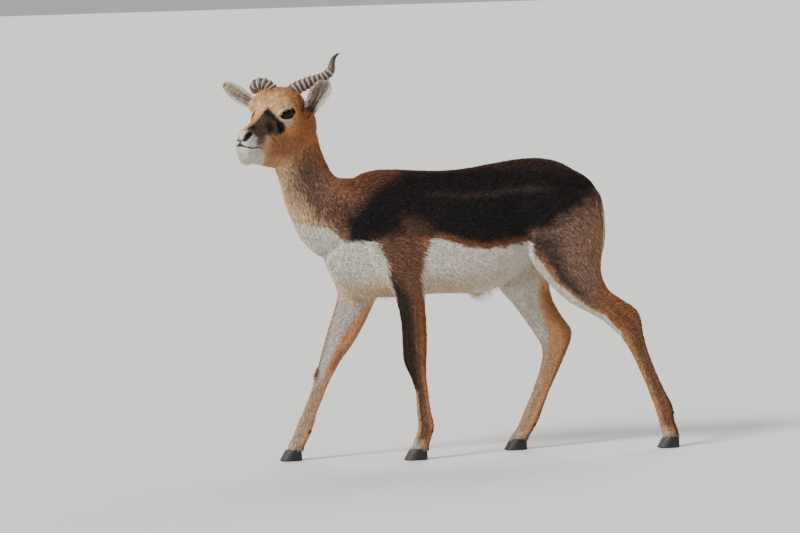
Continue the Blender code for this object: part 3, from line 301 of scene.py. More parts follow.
def head_matrix():
    """Matrix from the head's frame (forward, left, up) to the frame, by yaw, pitch and roll."""
    forward = Vector((-math.cos(HEAD_YAW), -math.sin(HEAD_YAW), 0.0))
    left = Vector((math.sin(HEAD_YAW), -math.cos(HEAD_YAW), 0.0))
    turn = Matrix((forward, left, Vector((0.0, 0.0, 1.0)))).transposed()
    tip = Matrix.Rotation(-HEAD_PITCH, 3, "Y") @ Matrix.Rotation(HEAD_ROLL, 3, "X")
    return Matrix.Translation(HEAD_ORIGIN + Vector(SHIFT)) @ (turn @ tip).to_4x4()


HEAD_MATRIX = head_matrix()


def to_frame(matrix, points):
    """Points times a 4x4 matrix, as an array of rows."""
    m = np.array(matrix)
    return points @ m[:3, :3].T + m[:3, 3]


def turned(matrix, ways):
    """Ways turned by a matrix, which doesn't shift them."""
    return ways @ np.array(matrix.to_3x3()).T


def in_head(points):
    """Points of the frame in the head's own frame."""
    return to_frame(HEAD_MATRIX.inverted(), points)


def smooth(low_end, high_end, value):
    """Smooth step from 0 at low_end to 1 at high_end."""
    t = np.clip((value - low_end) / (high_end - low_end), 0.0, 1.0)
    return t * t * (3.0 - 2.0 * t)


def wobble(points, size):
    """Soft unevenness between -1 and 1 with features of about a size: a sum of three sines."""
    k = 2 * math.pi / size
    x, y, z = points[:, 0] * k, points[:, 1] * k, points[:, 2] * k
    return (np.sin(x + 1.3 * np.sin(0.7 * z + 1.0)) + np.sin(1.1 * z + 1.7 * np.sin(0.6 * x + y))
            + np.sin(0.9 * y + 0.8 * x + 1.9)) / 3.0


def reading(red, green, blue):
    """Linear colour of a screen colour given in 0 to 255."""
    c = np.array([red, green, blue]) / 255.0
    return np.where(c <= 0.04045, c / 12.92, ((c + 0.055) / 1.055) ** 2.4)


def resample(values, spots, wanted):
    """Cubic Hermite curve through rows of values at spots, read at the wanted places."""
    values = np.asarray(values, dtype=float)
    slope = np.gradient(values, spots, axis=0)
    cell = np.clip(np.searchsorted(spots, wanted, side="right") - 1, 0, len(spots) - 2)
    width = (spots[cell + 1] - spots[cell])[:, None]
    t = (wanted - spots[cell])[:, None] / width
    start, end = values[cell], values[cell + 1]
    return ((2 * t**3 - 3 * t**2 + 1) * start + (t**3 - 2 * t**2 + t) * width * slope[cell]
            + (3 * t**2 - 2 * t**3) * end + (t**3 - t**2) * width * slope[cell + 1])


def loft_rings(centre, reach, side, egg, power, step=0.008, sides=48):
    """Grid of a loft. Point(t) = centre + reach C + side S (1 - egg C), where C and S are the
    signed powers 2/power of cos t and sin t, on rings a step apart along the way."""
    length = np.concatenate([[0.0], np.cumsum(np.linalg.norm(np.diff(centre, axis=0), axis=1))])
    count = max(int(length[-1] / step), 3)
    rows = np.hstack([centre, reach, side, egg[:, None], power[:, None]])
    rows = resample(rows, length, np.linspace(0.0, length[-1], count + 1))
    turn = ring_turn(sides)
    exponent = (2.0 / rows[:, 10])[:, None]
    along = np.sign(np.cos(turn)) * np.abs(np.cos(turn)) ** exponent
    across = np.sign(np.sin(turn)) * np.abs(np.sin(turn)) ** exponent
    across = across * (1.0 - rows[:, 9:10] * along)
    return (rows[:, None, 0:3] + along[:, :, None] * rows[:, None, 3:6]
            + across[:, :, None] * rows[:, None, 6:9])


def outline_rings(pairs, y, width, egg, power, step=0.008, sides=48):
    """Loft of outline pairs seen from the side: each ring spans its pair of (x, z) and its half
    width about y; egg says how low the width sits and power how square the ring is."""
    first, second = pairs[:, 0:2], pairs[:, 2:4]
    middle, half, flat = (first + second) / 2, (first - second) / 2, np.zeros(len(pairs))
    return loft_rings(np.column_stack([middle[:, 0], flat + y, middle[:, 1]]),
                      np.column_stack([half[:, 0], flat, half[:, 1]]),
                      np.column_stack([flat, width, flat]), flat + egg, flat + power, step, sides)


def limb_rings(rows, sign=1.0, sides=40):
    """Loft of a limb's outline pairs, their middles on the side that the sign says."""
    return outline_rings(rows, rows[:, 4] * sign, rows[:, 5], 0.0, LIMB_POWER, sides=sides)


def ball_rings(place, radii, rings=16, sides=32):
    """Ellipsoid as a grid: place + radii (cos a, sin a cos b, sin a sin b)."""
    a = np.linspace(0.04, math.pi - 0.04, rings)[:, None]
    b = ring_turn(sides)[None, :]
    ball = np.stack([np.cos(a) + 0 * b, np.sin(a) * np.cos(b), np.sin(a) * np.sin(b)], axis=-1)
    return np.array(place) + ball * np.array(radii)


def unit(rows):
    """Rows scaled to length 1."""
    return rows / np.linalg.norm(rows, axis=1)[:, None].clip(1e-6)


def even(row, count):
    """Array that repeats one row."""
    return np.tile(row, (count, 1))


def ring_turn(sides):
    """Angles of the sides of a closed ring."""
    return np.linspace(0.0, 2 * math.pi, sides, endpoint=False)


def grid_faces(rings, sides):
    """Quads of a grid of closed rings, as an array of four indices."""
    ring = np.arange(rings - 1)[:, None] * sides
    spot = np.arange(sides)[None, :]
    ahead = (spot + 1) % sides
    quads = np.stack([ring + spot, ring + ahead, ring + sides + ahead, ring + sides + spot], axis=-1)
    return quads.reshape(-1, 4)


def new_mesh(name, points, faces):
    """Mesh of an array of points and an array of faces that all have as many corners."""
    mesh = bpy.data.meshes.new(name)
    count, corners = faces.shape
    mesh.vertices.add(len(points))
    mesh.vertices.foreach_set("co", np.ascontiguousarray(points, dtype=np.float32).ravel())
    mesh.loops.add(count * corners)
    mesh.loops.foreach_set("vertex_index", faces.astype(np.int32).ravel())
    mesh.polygons.add(count)
    mesh.polygons.foreach_set("loop_start", np.arange(0, count * corners, corners, dtype=np.int32))
    mesh.update(calc_edges=True)
    return mesh


def outward(mesh):
    """Weld doubles and turn a closed mesh's faces so that they point out."""
    work = bmesh.new()
    work.from_mesh(mesh)
    bmesh.ops.remove_doubles(work, verts=work.verts, dist=1e-6)
    bmesh.ops.recalc_face_normals(work, faces=work.faces)
    if work.calc_volume(signed=True) < 0:
        bmesh.ops.reverse_faces(work, faces=work.faces)
    work.to_mesh(mesh)
    work.free()
    return mesh


def closed_mesh(name, grid, matrix=Matrix.Identity(4)):
    """Closed mesh of a grid of rings with a fan on each end, placed by a matrix."""
    rings, sides = grid.shape[:2]
    points = np.vstack([grid.reshape(-1, 3), grid[0].mean(axis=0), grid[-1].mean(axis=0)])
    spot = np.arange(sides)
    first, last, base = rings * sides, rings * sides + 1, (rings - 1) * sides
    quads = grid_faces(rings, sides)
    fans = np.vstack([np.column_stack([np.full(sides, first), (spot + 1) % sides, spot]),
                      np.column_stack([np.full(sides, last), base + spot, base + (spot + 1) % sides])])
    faces = np.vstack([quads[:, [0, 1, 2]], quads[:, [0, 2, 3]], fans])
    mesh = outward(new_mesh(name, points, faces))
    mesh.transform(matrix)
    return mesh


def add_object(name, data):
    """Object of a mesh, lamp or camera in the scene's collection."""
    thing = bpy.data.objects.new(name, data)
    bpy.context.scene.collection.objects.link(thing)
    return thing


def apply_modifiers(thing):
    """Put an object's modifiers into its mesh."""
    graph = bpy.context.evaluated_depsgraph_get()
    mesh = bpy.data.meshes.new_from_object(thing.evaluated_get(graph))
    thing.modifiers.clear()
    thing.data = mesh


def points_of(mesh, what="co"):
    """A mesh's points or vertex normals as an array."""
    out = np.empty(len(mesh.vertices) * 3)
    mesh.vertices.foreach_get(what, out)
    return out.reshape(-1, 3)


def set_points(mesh, points):
    """Write an array of points into a mesh."""
    mesh.vertices.foreach_set("co", np.ascontiguousarray(points, dtype=np.float32).ravel())
    mesh.update()


def triangles_of(mesh):
    """A mesh's triangles as an array of three vertex indices."""
    mesh.calc_loop_triangles()
    out = np.empty(len(mesh.loop_triangles) * 3, dtype=np.int32)
    mesh.loop_triangles.foreach_get("vertices", out)
    return out.reshape(-1, 3)


# places on the animal


# x of the line between the fore and the hind half
HIND_HALF = 0.06
# place on a leg: number of the row, way back, way out, way down the leg, and the leg's number
LimbPlace = namedtuple("LimbPlace", "t s w down label", defaults=(None,))


def leg_place(points, rows, sign):
    """Place of points on a leg: t counts the rows of its outline, s is -1 at the front and 1 at
    the back, w is -1 inside and 1 outside. t comes from the distances to the lines of two rows."""
    first, second = rows[:, 0:2], rows[:, 2:4]
    middle, half = (first + second) / 2, (second - first) / 2
    ahead = np.gradient(middle, axis=0)
    normal = np.column_stack([-half[:, 1], half[:, 0]])
    normal *= np.sign((normal * ahead).sum(axis=1))[:, None]
    normal /= np.linalg.norm(normal, axis=1)[:, None]
    flat = points[:, [0, 2]]
    off = np.einsum("nrk,rk->nr", flat[:, None, :] - middle[None], normal)
    between = (off[:, :-1] >= 0) & (off[:, 1:] < 0)
    cell = np.where(between.any(axis=1), between.argmax(axis=1),
                    np.where(off[:, 0] < 0, 0, len(rows) - 2))
    line = np.arange(len(points))
    share = np.clip(off[line, cell] / (off[line, cell] - off[line, cell + 1] + 1e-9), 0.0, 1.0)
    t = cell + share

    def read(values):
        """Values of the rows at each point's t."""
        part = share if values.ndim == 1 else share[:, None]
        return values[cell] * (1 - part) + values[cell + 1] * part

    here, span = read(middle), read(half)
    s = ((flat - here) * span).sum(axis=1) / (span**2).sum(axis=1)
    w = (points[:, 1] * sign - read(rows[:, 4])) / read(rows[:, 5])
    down = read(ahead)
    down = np.column_stack([down[:, 0], np.zeros(len(points)), down[:, 1]])
    return LimbPlace(t, s, w, unit(down))


def which_leg(points):
    """Number in LEG_NAMES of the leg each point would belong to, by its half and its side."""
    hind = points[:, 0] > HIND_HALF
    right = points[:, 1] > 0
    return hind.astype(int) * 2 + right.astype(int)


def leg_places(points):
    """Place of every point on the leg of its own quarter, with that leg's number."""
    label = which_leg(points)
    t, s, w = np.zeros((3, len(points)))
    down = np.zeros((len(points), 3))
    for number, leg in enumerate(LEGS.values()):
        pick = label == number
        if pick.any():
            t[pick], s[pick], w[pick], down[pick] = leg_place(points[pick], *leg)[:4]
    return LimbPlace(t, s, w, down, label)


def line_gap(flat, line):
    """Distance of places from a line of points."""
    near = np.full(len(flat), 1e9)
    for a, b in zip(line[:-1], line[1:]):
        way = b - a
        t = np.clip(((flat - a) @ way) / (way @ way), 0.0, 1.0)
        near = np.minimum(near, np.linalg.norm(flat - a - t[:, None] * way, axis=1))
    return near


def depth_in(flat, corners):
    """Distance from a closed outline's edges, positive inside it."""
    loop = np.vstack([corners, corners[:1]])
    odd = np.zeros(len(flat), dtype=bool)
    for a, b in zip(loop[:-1], loop[1:]):
        crosses = (a[1] > flat[:, 1]) != (b[1] > flat[:, 1])
        rise = b[1] - a[1] if abs(b[1] - a[1]) > 1e-12 else 1e-12
        odd ^= crosses & (flat[:, 0] < a[0] + (flat[:, 1] - a[1]) / rise * (b[0] - a[0]))
    near = line_gap(flat, loop)
    return np.where(odd, near, -near)


def in_shape(flat, corners, soft):
    """Smooth mask of a closed outline: 1 inside, 0 outside."""
    return smooth(-soft, soft, depth_in(flat, corners))


def mixed(colour, other, mask):
    """Blend an array of colours towards another colour by a mask."""
    return colour * (1 - mask[:, None]) + np.asarray(other) * mask[:, None]


# markings

DARK_BACK = reading(30, 22, 22)
BACK_RIM_HIGHLIGHT = reading(66, 41, 32)
DEEP_BROWN = reading(24, 18, 19)
LIGHT_STRIPE = reading(78, 62, 56)
MARGIN = reading(140, 90, 56)
SHOULDER_DARK = reading(20, 17, 19)
SLEEVE = reading(126, 88, 67)
ORANGE = reading(222, 152, 94)
PALE_ORANGE = reading(255, 208, 146)
DEEP_ORANGE = reading(156, 96, 56)
CHEEK_BROWN = reading(130, 91, 69)
NECK_GRIZZLE = reading(121, 93, 77)
NECK_FRONT = reading(255, 215, 168)
NAPE = reading(158, 108, 74)
WITHERS = reading(108, 68, 48)
WHITE_HAIR = reading(230, 221, 207)
WARM_WHITE = reading(226, 201, 166)
COOL_WHITE = reading(209, 199, 187)
SHIN_TAN = reading(176, 140, 106)
NOSE_PATCH = reading(66, 57, 55)
BLACK_HAIR = reading(17, 14, 15)
MUZZLE_GREY = reading(208, 197, 187)
PINK_BROWN = reading(116, 86, 78)
EYE_PALE = reading(216, 204, 190)
THIGH_GRIZZLE = reading(142, 111, 92)
THIGH_DARK = reading(42, 33, 32)
RUMP_TOP = reading(62, 44, 37)
RUMP_REAR = reading(180, 128, 90)
LIP_DARK = reading(40, 29, 31)
EAR_INSIDE = reading(192, 172, 152)
EAR_STREAK = reading(46, 36, 34)

CHEST_LINE = mm([
    (-440, -405, -378, -349, -314, -280, -249, -206, -52, -26, 29, 93, 163, 213, 260),
    (640, 639, 635, 627, 613, 583, 583, 580, 581, 581, 561, 551, 559, 565, 560),
])
STRIPE_LINE = mm([(-62, 30, 111, 152, 226), (698, 688, 691, 698, 699)])
NECK_LIMIT = mm([
    (-285, 600), (-277, 675), (-260, 657), (-236, 687), (-206, 712), (-163, 737), (-132, 751),
    (-100, 800), (500, 900), (500, 400), (-285, 400),
])
SHOULDER_SHAPE = mm([
    (-261, 646), (-232, 672), (-197, 678), (-132, 664), (-136, 607), (-190, 592), (-249, 593),
])
THIGH_LINE = mm([(560, 601, 622, 642, 656, 680, 740), (230, 252, 271, 300, 337, 368, 430)])
# borders of the brown on the outside of the legs, as s against t
SLEEVE_FRONT = ((0.0, 0.9, 1.3, 1.8, 3.0, 3.4), (-0.62, -0.60, -0.52, -0.60, -0.92, -1.4))
SLEEVE_REAR = ((0.0, 1.0, 1.6, 2.35, 3.1, 3.8), (1.0, 0.97, 0.68, 0.50, 0.80, 1.5))
THIGH_FRONT = ((0.0, 1.0, 1.5, 2.0, 2.5, 3.0, 4.0, 5.0, 5.8, 6.8, 15.0),
               (-1.2, -1.0, -0.90, -0.86, -0.84, -0.80, -0.66, -0.64, -0.80, -1.40, -1.40))

GLAND_SHAPE = mm([(54, -8), (45, -9), (37, -26), (34, -43), (44, -48), (54, -33)])
PATCH_SHAPE = mm([
    (58, 40), (58, 17), (57, 7), (53, -9), (45, -9), (37, -26), (34, -42), (44, -48), (56, -52),
    (75, -49), (90, -54), (108, -58), (126, -52), (135, -40), (137, -33), (137, 10),
])
UNDER_EYE = mm([(45, -11), (35, -25), (25, -30), (14, -27), (4, -15), (15, -8)])
NOSTRIL_SHAPE = mm([(157, -67), (153, -53), (146, -43), (127, -41), (123, -48), (135, -59), (148, -67)])
CHIN_LINE = mm([(-60, 60, 73, 84, 95, 160), (-170, -150, -125, -104, -87, -84)])

# where lines that vary along the head or a leg pass, as places and heights
RIDGE_LINE = ((0.058, 0.075, 0.135), (0.009, 0.006, 0.004))
LIP_REACH_ASIDE = ((0.004, 0.012), (0.0062, 0.0032))
LIP_REACH_BACK = ((0.090, 0.140), (0.45, 1.0))
MOUTH_LINE = ((0.0, 0.35, 0.70, 1.0), (-0.0785, -0.0835, -0.0815, -0.0845))
REAR_EDGE = ((0.0, 2.5, 4.0), (0.45, 0.30, 0.05))
DARK_EDGE = ((1.5, 2.4, 3.2, 6.0, 7.2, 8.5, 12.0), (-0.62, -0.36, -0.12, -0.10, -0.22, -0.25, -0.40))
FORE_ORANGE = ((2.4, 3.2, 5.0, 7.0, 7.8), (0.7, 0.25, -0.20, -0.35, 0.05))
HIND_ORANGE = ((3.0, 4.0, 5.5, 7.0, 8.5, 12.0), (0.40, 0.10, -0.30, -0.70, -0.75, -0.60))
SEAT_EDGE = ((0.015, 0.050), (0.392, 0.415))
# darkest spots of the saddle over the nose: middle and radii
SADDLE_SPOTS = mm([(61, 9, 12, 23), (118, -31, 12, 7), (71, -30, 10, 14)])


def layered(colour, *layers):
    """Lay tones over a colour in turn, each as far as its mask says."""
    for tone, mask in layers:
        colour = mixed(colour, tone, mask)
    return colour


# In the functions below a mask is a product of soft steps. The two numbers of a step say where it
# is empty and where it is full: in metres of the frame or the head's frame, or as a leg's t, s or w.


def head_marks(points):
    """Colours and flecks of the head's coat from places in the head's frame."""
    h = in_head(points)
    f, side, u = h[:, 0], np.abs(h[:, 1]), h[:, 2]
    flat = np.column_stack([f, u])
    ragged = flat + 0.0026 * np.column_stack([wobble(points, 0.011), wobble(points + 0.3, 0.008)])
    ragged = ragged + 0.0014 * np.column_stack([wobble(points + 0.1, 0.0041),
                                                wobble(points + 0.6, 0.0037)])
    cheek = smooth(-0.035, -0.065, u) * smooth(0.085, 0.05, f) * smooth(-0.06, -0.03, f)
    blotch = np.hypot((f - 0.1030 + 0.6 * (u + 0.064)) / 0.017, (u + 0.0640) / 0.012)
    chin = (smooth(0.006, -0.008, u - np.interp(f + 0.8 * (ragged[:, 0] - f), *CHIN_LINE))
            * smooth(0.00, 0.03, f))
    tip = smooth(0.134, 0.142, f) * smooth(-0.034, -0.040, u)
    upper_lip = smooth(0.112, 0.132, f) * smooth(-0.062, -0.068, u)
    # dark saddle over the nose, almost black along its upper edge and in the gland
    ridge = np.interp(f, *RIDGE_LINE) + 0.002 * wobble(points, 0.010)
    saddle = in_shape(ragged, PATCH_SHAPE, 0.0048)
    saddle = saddle * np.maximum(smooth(-0.002, 0.003, h[:, 1] - ridge),
                                 smooth(0.010, 0.018, -h[:, 1] - ridge))
    thin_spot = smooth(0.15, 0.75, wobble(points + 0.2, 0.009)) * smooth(0.070, 0.090, f)
    tawny = (smooth(0.10, 0.70, wobble(points, 0.013)) * smooth(-0.030, -0.045, u)
             * smooth(0.075, 0.088, f))
    spots = np.maximum.reduce([smooth(1.2, 0.5, np.hypot(*((ragged - spot[:2]) / spot[2:]).T))
                               for spot in SADDLE_SPOTS])
    gland = in_shape(flat, GLAND_SHAPE, 0.0030) * smooth(0.025, 0.032, side)
    # painted shade: a dark line along the fold of the cheek below the gland
    fold_shade = np.abs((ragged[:, 1] + 0.0508) + 0.95 * (0.0701 - ragged[:, 0])) / 1.4
    fold_shade = (smooth(0.0042, 0.0006, fold_shade) * smooth(0.046, 0.056, f) * smooth(0.080, 0.070, f)
              * (side > 0.02))
    # pale skin under the eye and a thin pale line over its front
    under = in_shape(flat, UNDER_EYE, 0.0040) * smooth(0.025, 0.036, side)
    over = smooth(0.0030, 0.0010, np.abs(np.hypot(f - 0.022, 1.25 * (u - 0.003)) - 0.0272))
    over = over * smooth(-0.010, 0.000, u - 0.55 * (0.045 - f)) * smooth(0.020, 0.034, side)
    # lips, and the strip from them to the nose
    reach = np.interp(side, *LIP_REACH_ASIDE) * np.interp(f, *LIP_REACH_BACK)
    lip = np.abs(u - mouth_height(f) - 0.0030 * smooth(0.012, 0.004, side)) / reach
    strip = (smooth(0.0050, 0.0030, side) * smooth(0.143, 0.148, f) * smooth(-0.058, -0.063, u)
             * smooth(-0.084, -0.080, u))
    lip = np.maximum(smooth(1.0, 0.5, lip), 0.85 * strip)
    colour = layered(
        even(ORANGE, len(points)),
        (PALE_ORANGE, 0.75 * smooth(0.052, 0.030, np.abs(u - 0.035)) * smooth(0.01, 0.045, f)),
        (DEEP_ORANGE, 0.65 * smooth(0.010, -0.04, f) * smooth(-0.09, -0.03, u)),
        (DEEP_ORANGE, 0.5 * smooth(0.045, 0.066, u)),
        (CHEEK_BROWN, cheek * (0.48 + 0.32 * smooth(-0.1, 0.7, wobble(points, 0.017)))),
        (PALE_ORANGE, 0.35 * smooth(-0.095, -0.115, u) * smooth(0.10, 0.03, f)),
        (MUZZLE_GREY, 0.9 * smooth(-0.044, -0.052, u) * smooth(0.098, 0.124, f)),
        (MUZZLE_GREY, 0.5 * smooth(-0.040, -0.060, u) * smooth(0.060, 0.085, f)),
        (PINK_BROWN, 0.85 * smooth(1.35, 0.65, blotch) * smooth(0.012, 0.02, side)),
        (WHITE_HAIR, chin),
        (WHITE_HAIR, np.maximum(0.95 * tip, upper_lip)),
        (PALE_ORANGE, 0.6 * smooth(-0.105, -0.135, u) * smooth(0.03, 0.00, f)),
        (NOSE_PATCH, 0.95 * saddle * (1 - 0.30 * thin_spot)),
        (PINK_BROWN, 0.55 * saddle * tawny),
        (BLACK_HAIR, 0.92 * saddle * spots),
        (BLACK_HAIR, gland),
        (NOSE_PATCH, 0.65 * fold_shade),
        (EYE_PALE, 0.82 * under * (1 - gland)),
        (EYE_PALE, 0.65 * over * smooth(-0.005, 0.015, f)),
        (LIP_DARK, 0.95 * lip * smooth(0.086, 0.094, f)))
    return colour, (0.16 + 0.34 * saddle) * (1 - chin)


def mouth_height(f):
    """Height of the line of the mouth round the muzzle, from the front of the lips backwards."""
    return np.interp(np.clip((0.154 - f) / 0.062, 0.0, 1.0), *MOUTH_LINE)


def nostril_edge(u):
    """Distance of a nostril's inner edge from the middle: the two slant apart upwards."""
    return np.interp(u, (-0.068, -0.042), (0.0045, 0.0115))


def ear_frame(spec):
    """Matrix of an ear: x across the leaf, y along it, z the way the cup faces."""
    root, direction, facing = spec[:3]
    along = Vector(direction).normalized()
    face = Vector(facing)
    face = (face - along * face.dot(along)).normalized()
    wide = along.cross(face)
    frame_of = Matrix((wide, along, face)).transposed().to_4x4()
    return HEAD_MATRIX @ Matrix.Translation(root) @ frame_of


def body_marks(points):
    """Colours and flecks of the coat on trunk, neck, legs and tail, from the drawing frame."""
    p = points - SHIFT
    x, aside, z = p[:, 0], np.abs(p[:, 1]), p[:, 2]
    uneven, fine = wobble(p, 0.045), wobble(p, 0.013)
    leg = leg_places(p)
    # back and flanks with a painted rim highlight along the top of the back, rump and thigh, the margin
    # along the white, and the shoulder
    stripe = np.exp(-((z - np.interp(x, *STRIPE_LINE) - 0.002 * fine) / 0.0085) ** 2)
    stripe = stripe * smooth(-0.10, -0.02, x) * smooth(0.30, 0.226, x)
    thigh = (smooth(-0.020, 0.060, x - np.interp(z, *THIGH_LINE) + 0.008 * uneven)
             * smooth(0.19, 0.24, x))
    line = np.interp(x, *CHEST_LINE) + 0.003 * uneven + 0.0015 * fine
    margin = smooth(0.026, 0.002, z - line) * smooth(-0.07, -0.04, x) * smooth(0.235, 0.20, x)
    brown = (smooth(-0.25, -0.14, x) * smooth(-0.03, -0.10, x)
             * smooth(0.668, 0.600, z + 0.25 * (x + 0.13)))
    flat = np.column_stack([x, z]) + 0.004 * np.column_stack([uneven, fine])
    colour = layered(
        even(DARK_BACK, len(p)),
        # painted highlight: reddish brown light along the top of the back
        (BACK_RIM_HIGHLIGHT, 0.75 * smooth(0.735, 0.765, z + 0.004 * uneven)),
        (DEEP_BROWN, 0.75 * smooth(0.680, 0.650, z) * smooth(-0.12, 0.0, x) * smooth(0.30, 0.24, x)),
        (LIGHT_STRIPE, stripe * (0.50 + 0.18 * smooth(0.05, 0.22, x))),
        (RUMP_TOP, 0.85 * smooth(0.20, 0.33, x) * smooth(0.715, 0.755, z)),
        (THIGH_GRIZZLE, thigh),
        (RUMP_TOP, 0.60 * thigh * smooth(0.600, 0.690, z + 0.006 * uneven)),
        (MARGIN, 0.85 * margin * (1 - thigh)),
        (SLEEVE, brown),
        (DEEP_BROWN, 0.45 * brown * smooth(0.54, 0.60, z)),
        (SHOULDER_DARK, 0.95 * in_shape(flat, SHOULDER_SHAPE, 0.022)))
    fleck = 0.25 + 0.45 * thigh + 0.45 * brown
    # neck, then white below
    neck = 1 - in_shape(flat, NECK_LIMIT, 0.026)
    neck_colour, neck_fleck = neck_marks(p)
    white = smooth(0.003, -0.005, z - line)
    belly = mixed(even(WHITE_HAIR, len(p)), WARM_WHITE, smooth(0.52, 0.43, z))
    colour = layered(colour, (neck_colour, neck), (belly, white))
    fleck = (fleck * (1 - neck) + neck_fleck * neck) * (1 - white)
    colour, fleck = fore_marks(colour, fleck, leg, z, fine)
    colour, fleck = hind_marks(colour, fleck, leg, fine)
    # rear of the thighs, seat, tail and feet
    seat = (smooth(-0.004, 0.005, x - np.interp(aside, *SEAT_EDGE) + 0.002 * uneven)
            * smooth(0.050, 0.036, aside + 0.003 * uneven) * smooth(0.675, 0.645, z))
    tail = (smooth(0.0265, 0.0245, aside) * smooth(0.4120, 0.4160, x) * smooth(0.50, 0.51, z))
    foot = smooth(0.062, 0.040, z + 0.004 * fine)
    colour = layered(
        colour,
        (RUMP_REAR, 0.85 * (smooth(0.372, 0.408, x) * smooth(0.69, 0.62, z) * smooth(0.43, 0.47, z)
                            * (leg.w > -0.2))),
        (WHITE_HAIR, seat * smooth(0.39, 0.45, z)),
        (THIGH_GRIZZLE, 0.9 * tail * smooth(0.4310, 0.4260, x) * smooth(0.52, 0.56, z)),
        (SLEEVE, 0.9 * tail * smooth(0.012, 0.006, aside) * smooth(0.53, 0.58, z)),
        (SHIN_TAN, 0.80 * foot * smooth(0.9, 0.1, leg.s)),
        (COOL_WHITE, 0.60 * foot * smooth(0.2, -0.6, leg.s + 0.3 * fine)),
        (DEEP_BROWN, 0.7 * foot * smooth(0.35, 0.9, leg.s)))
    return colour, np.clip(fleck * (1 - foot), 0.0, 0.9)


def fore_marks(colour, fleck, leg, z, fine):
    """Fore legs laid over the body's colours: a brown sleeve outside that is darkest in front,
    and white inside with orange behind."""
    t, s, w, label = leg.t, leg.s, leg.w, leg.label
    fore = label < 2
    sleeve = (smooth(-0.08, 0.08, s - np.interp(t, *SLEEVE_FRONT) + 0.05 * fine)
              * smooth(-0.08, 0.08, np.interp(t, *SLEEVE_REAR) - s + 0.05 * fine)
              * smooth(-0.35, -0.15, w) * fore * smooth(0.596, 0.582, z) * (np.abs(s) < 1.6))
    far_front = (label == 1) * smooth(0.55, 0.05, w) * smooth(-0.55, -0.85, s)
    dark = (smooth(0.38, -0.40, s - np.interp(t, *DARK_EDGE) + 0.14 * fine) * smooth(1.1, 2.8, t)
            * smooth(12.2, 9.0, t) * (1 - 0.9 * far_front))
    outside = layered(
        even(SLEEVE, len(s)),
        (DEEP_ORANGE, smooth(0.0, 0.60, s - np.interp(t, *REAR_EDGE) + 0.10 * fine)),
        (ORANGE, 0.55 * smooth(5.0, 8.0, t) * smooth(0.0, 0.6, s)),
        (ORANGE, 0.7 * far_front),
        (DEEP_BROWN, (0.86 - 0.36 * smooth(7.0, 8.6, t)) * dark),
        (PALE_ORANGE, 0.55 * smooth(0.30, 0.10, np.abs(s + 0.92)) * smooth(7.6, 8.4, t)))
    orange = smooth(0.00, 0.30, s - np.interp(t, *FORE_ORANGE) + 0.12 * fine)
    inside = layered(
        even(COOL_WHITE, len(s)),
        (ORANGE, 0.85 * orange * smooth(2.4, 3.4, t)),
        (SLEEVE, 0.50 * smooth(-0.76, -0.98, s) * smooth(7.6, 6.8, t) * smooth(4.0, 5.0, t)),
        (SHIN_TAN, 0.80 * smooth(6.8, 8.4, t) * smooth(0.3, -0.1, s + 0.2 * fine)),
        (SLEEVE, 0.7 * smooth(0.30, 0.05, np.abs(s - 0.45)) * smooth(0.9, 0.3, np.abs(t - 6.0))))
    colour = layered(colour, (outside, sleeve),
                     (inside, smooth(-0.10, -0.45, w) * smooth(2.9, 3.4, t) * fore))
    return colour, np.where(sleeve > 0.5, 0.35 * smooth(3.4, 2.2, t) + 0.10, fleck)


def hind_marks(colour, fleck, leg, fine):
    """Hind legs laid over the body's colours: a grizzled thigh with a dark front and a pale fringe,
    orange below; white inside with orange behind."""
    t, s, w = leg.t, leg.s, leg.w
    hind = leg.label >= 2
    front = s - np.interp(t, *THIGH_FRONT)
    haunch = (smooth(-0.06, 0.07, front + 0.04 * fine) * smooth(-0.35, -0.12, w)
              * hind * smooth(1.05, 1.45, t))
    fringe = smooth(0.30, 0.08, front + 0.05 * fine) * smooth(1.6, 2.5, t) * smooth(5.6, 4.6, t)
    outside = layered(
        even(THIGH_GRIZZLE, len(s)),
        (DEEP_ORANGE, smooth(3.2, 5.4, t + 0.8 * s)),
        (RUMP_REAR, 0.75 * smooth(0.45, 0.85, s) * smooth(3.4, 2.6, t)),
        (THIGH_DARK, 0.85 * smooth(0.95, 0.20, front) * smooth(1.0, 1.7, t) * smooth(4.6, 3.4, t)),
        (RUMP_REAR, 0.85 * fringe),
        (PALE_ORANGE, 0.26 * smooth(-0.25, -0.70, s) * smooth(4.8, 6.4, t)),
        (SLEEVE, 0.85 * smooth(4.6, 7.0, t) * smooth(-0.9, -0.2, s + 0.2 * fine)),
        (THIGH_DARK, 0.55 * smooth(0.35, 0.85, s) * smooth(8.6, 9.8, t) * smooth(13.0, 11.5, t)),
        # painted shade: a darker line down the middle of the leg above the hock, as in a groove
        (THIGH_DARK, 0.30 * smooth(0.30, 0.08, np.abs(s - 0.15)) * smooth(4.2, 5.2, t)
         * smooth(7.5, 6.0, t)))
    inside = layered(
        even(WHITE_HAIR, len(s)),
        (ORANGE, 0.85 * smooth(-0.12, 0.25, s - np.interp(t, *HIND_ORANGE) + 0.08 * fine)),
        (DEEP_ORANGE, 0.75 * smooth(0.1, 0.7, s) * smooth(3.0, 4.0, t)),
        (SHIN_TAN, 0.75 * smooth(6.0, 8.0, t) * smooth(0.2, -0.3, s)))
    colour = layered(colour, (outside, haunch),
                     (inside, hind * smooth(2.4, 3.2, t) * (1 - haunch)))
    return colour, np.where(haunch > 0.5, 0.6 * smooth(4.4, 3.0, t) + 0.10, fleck)


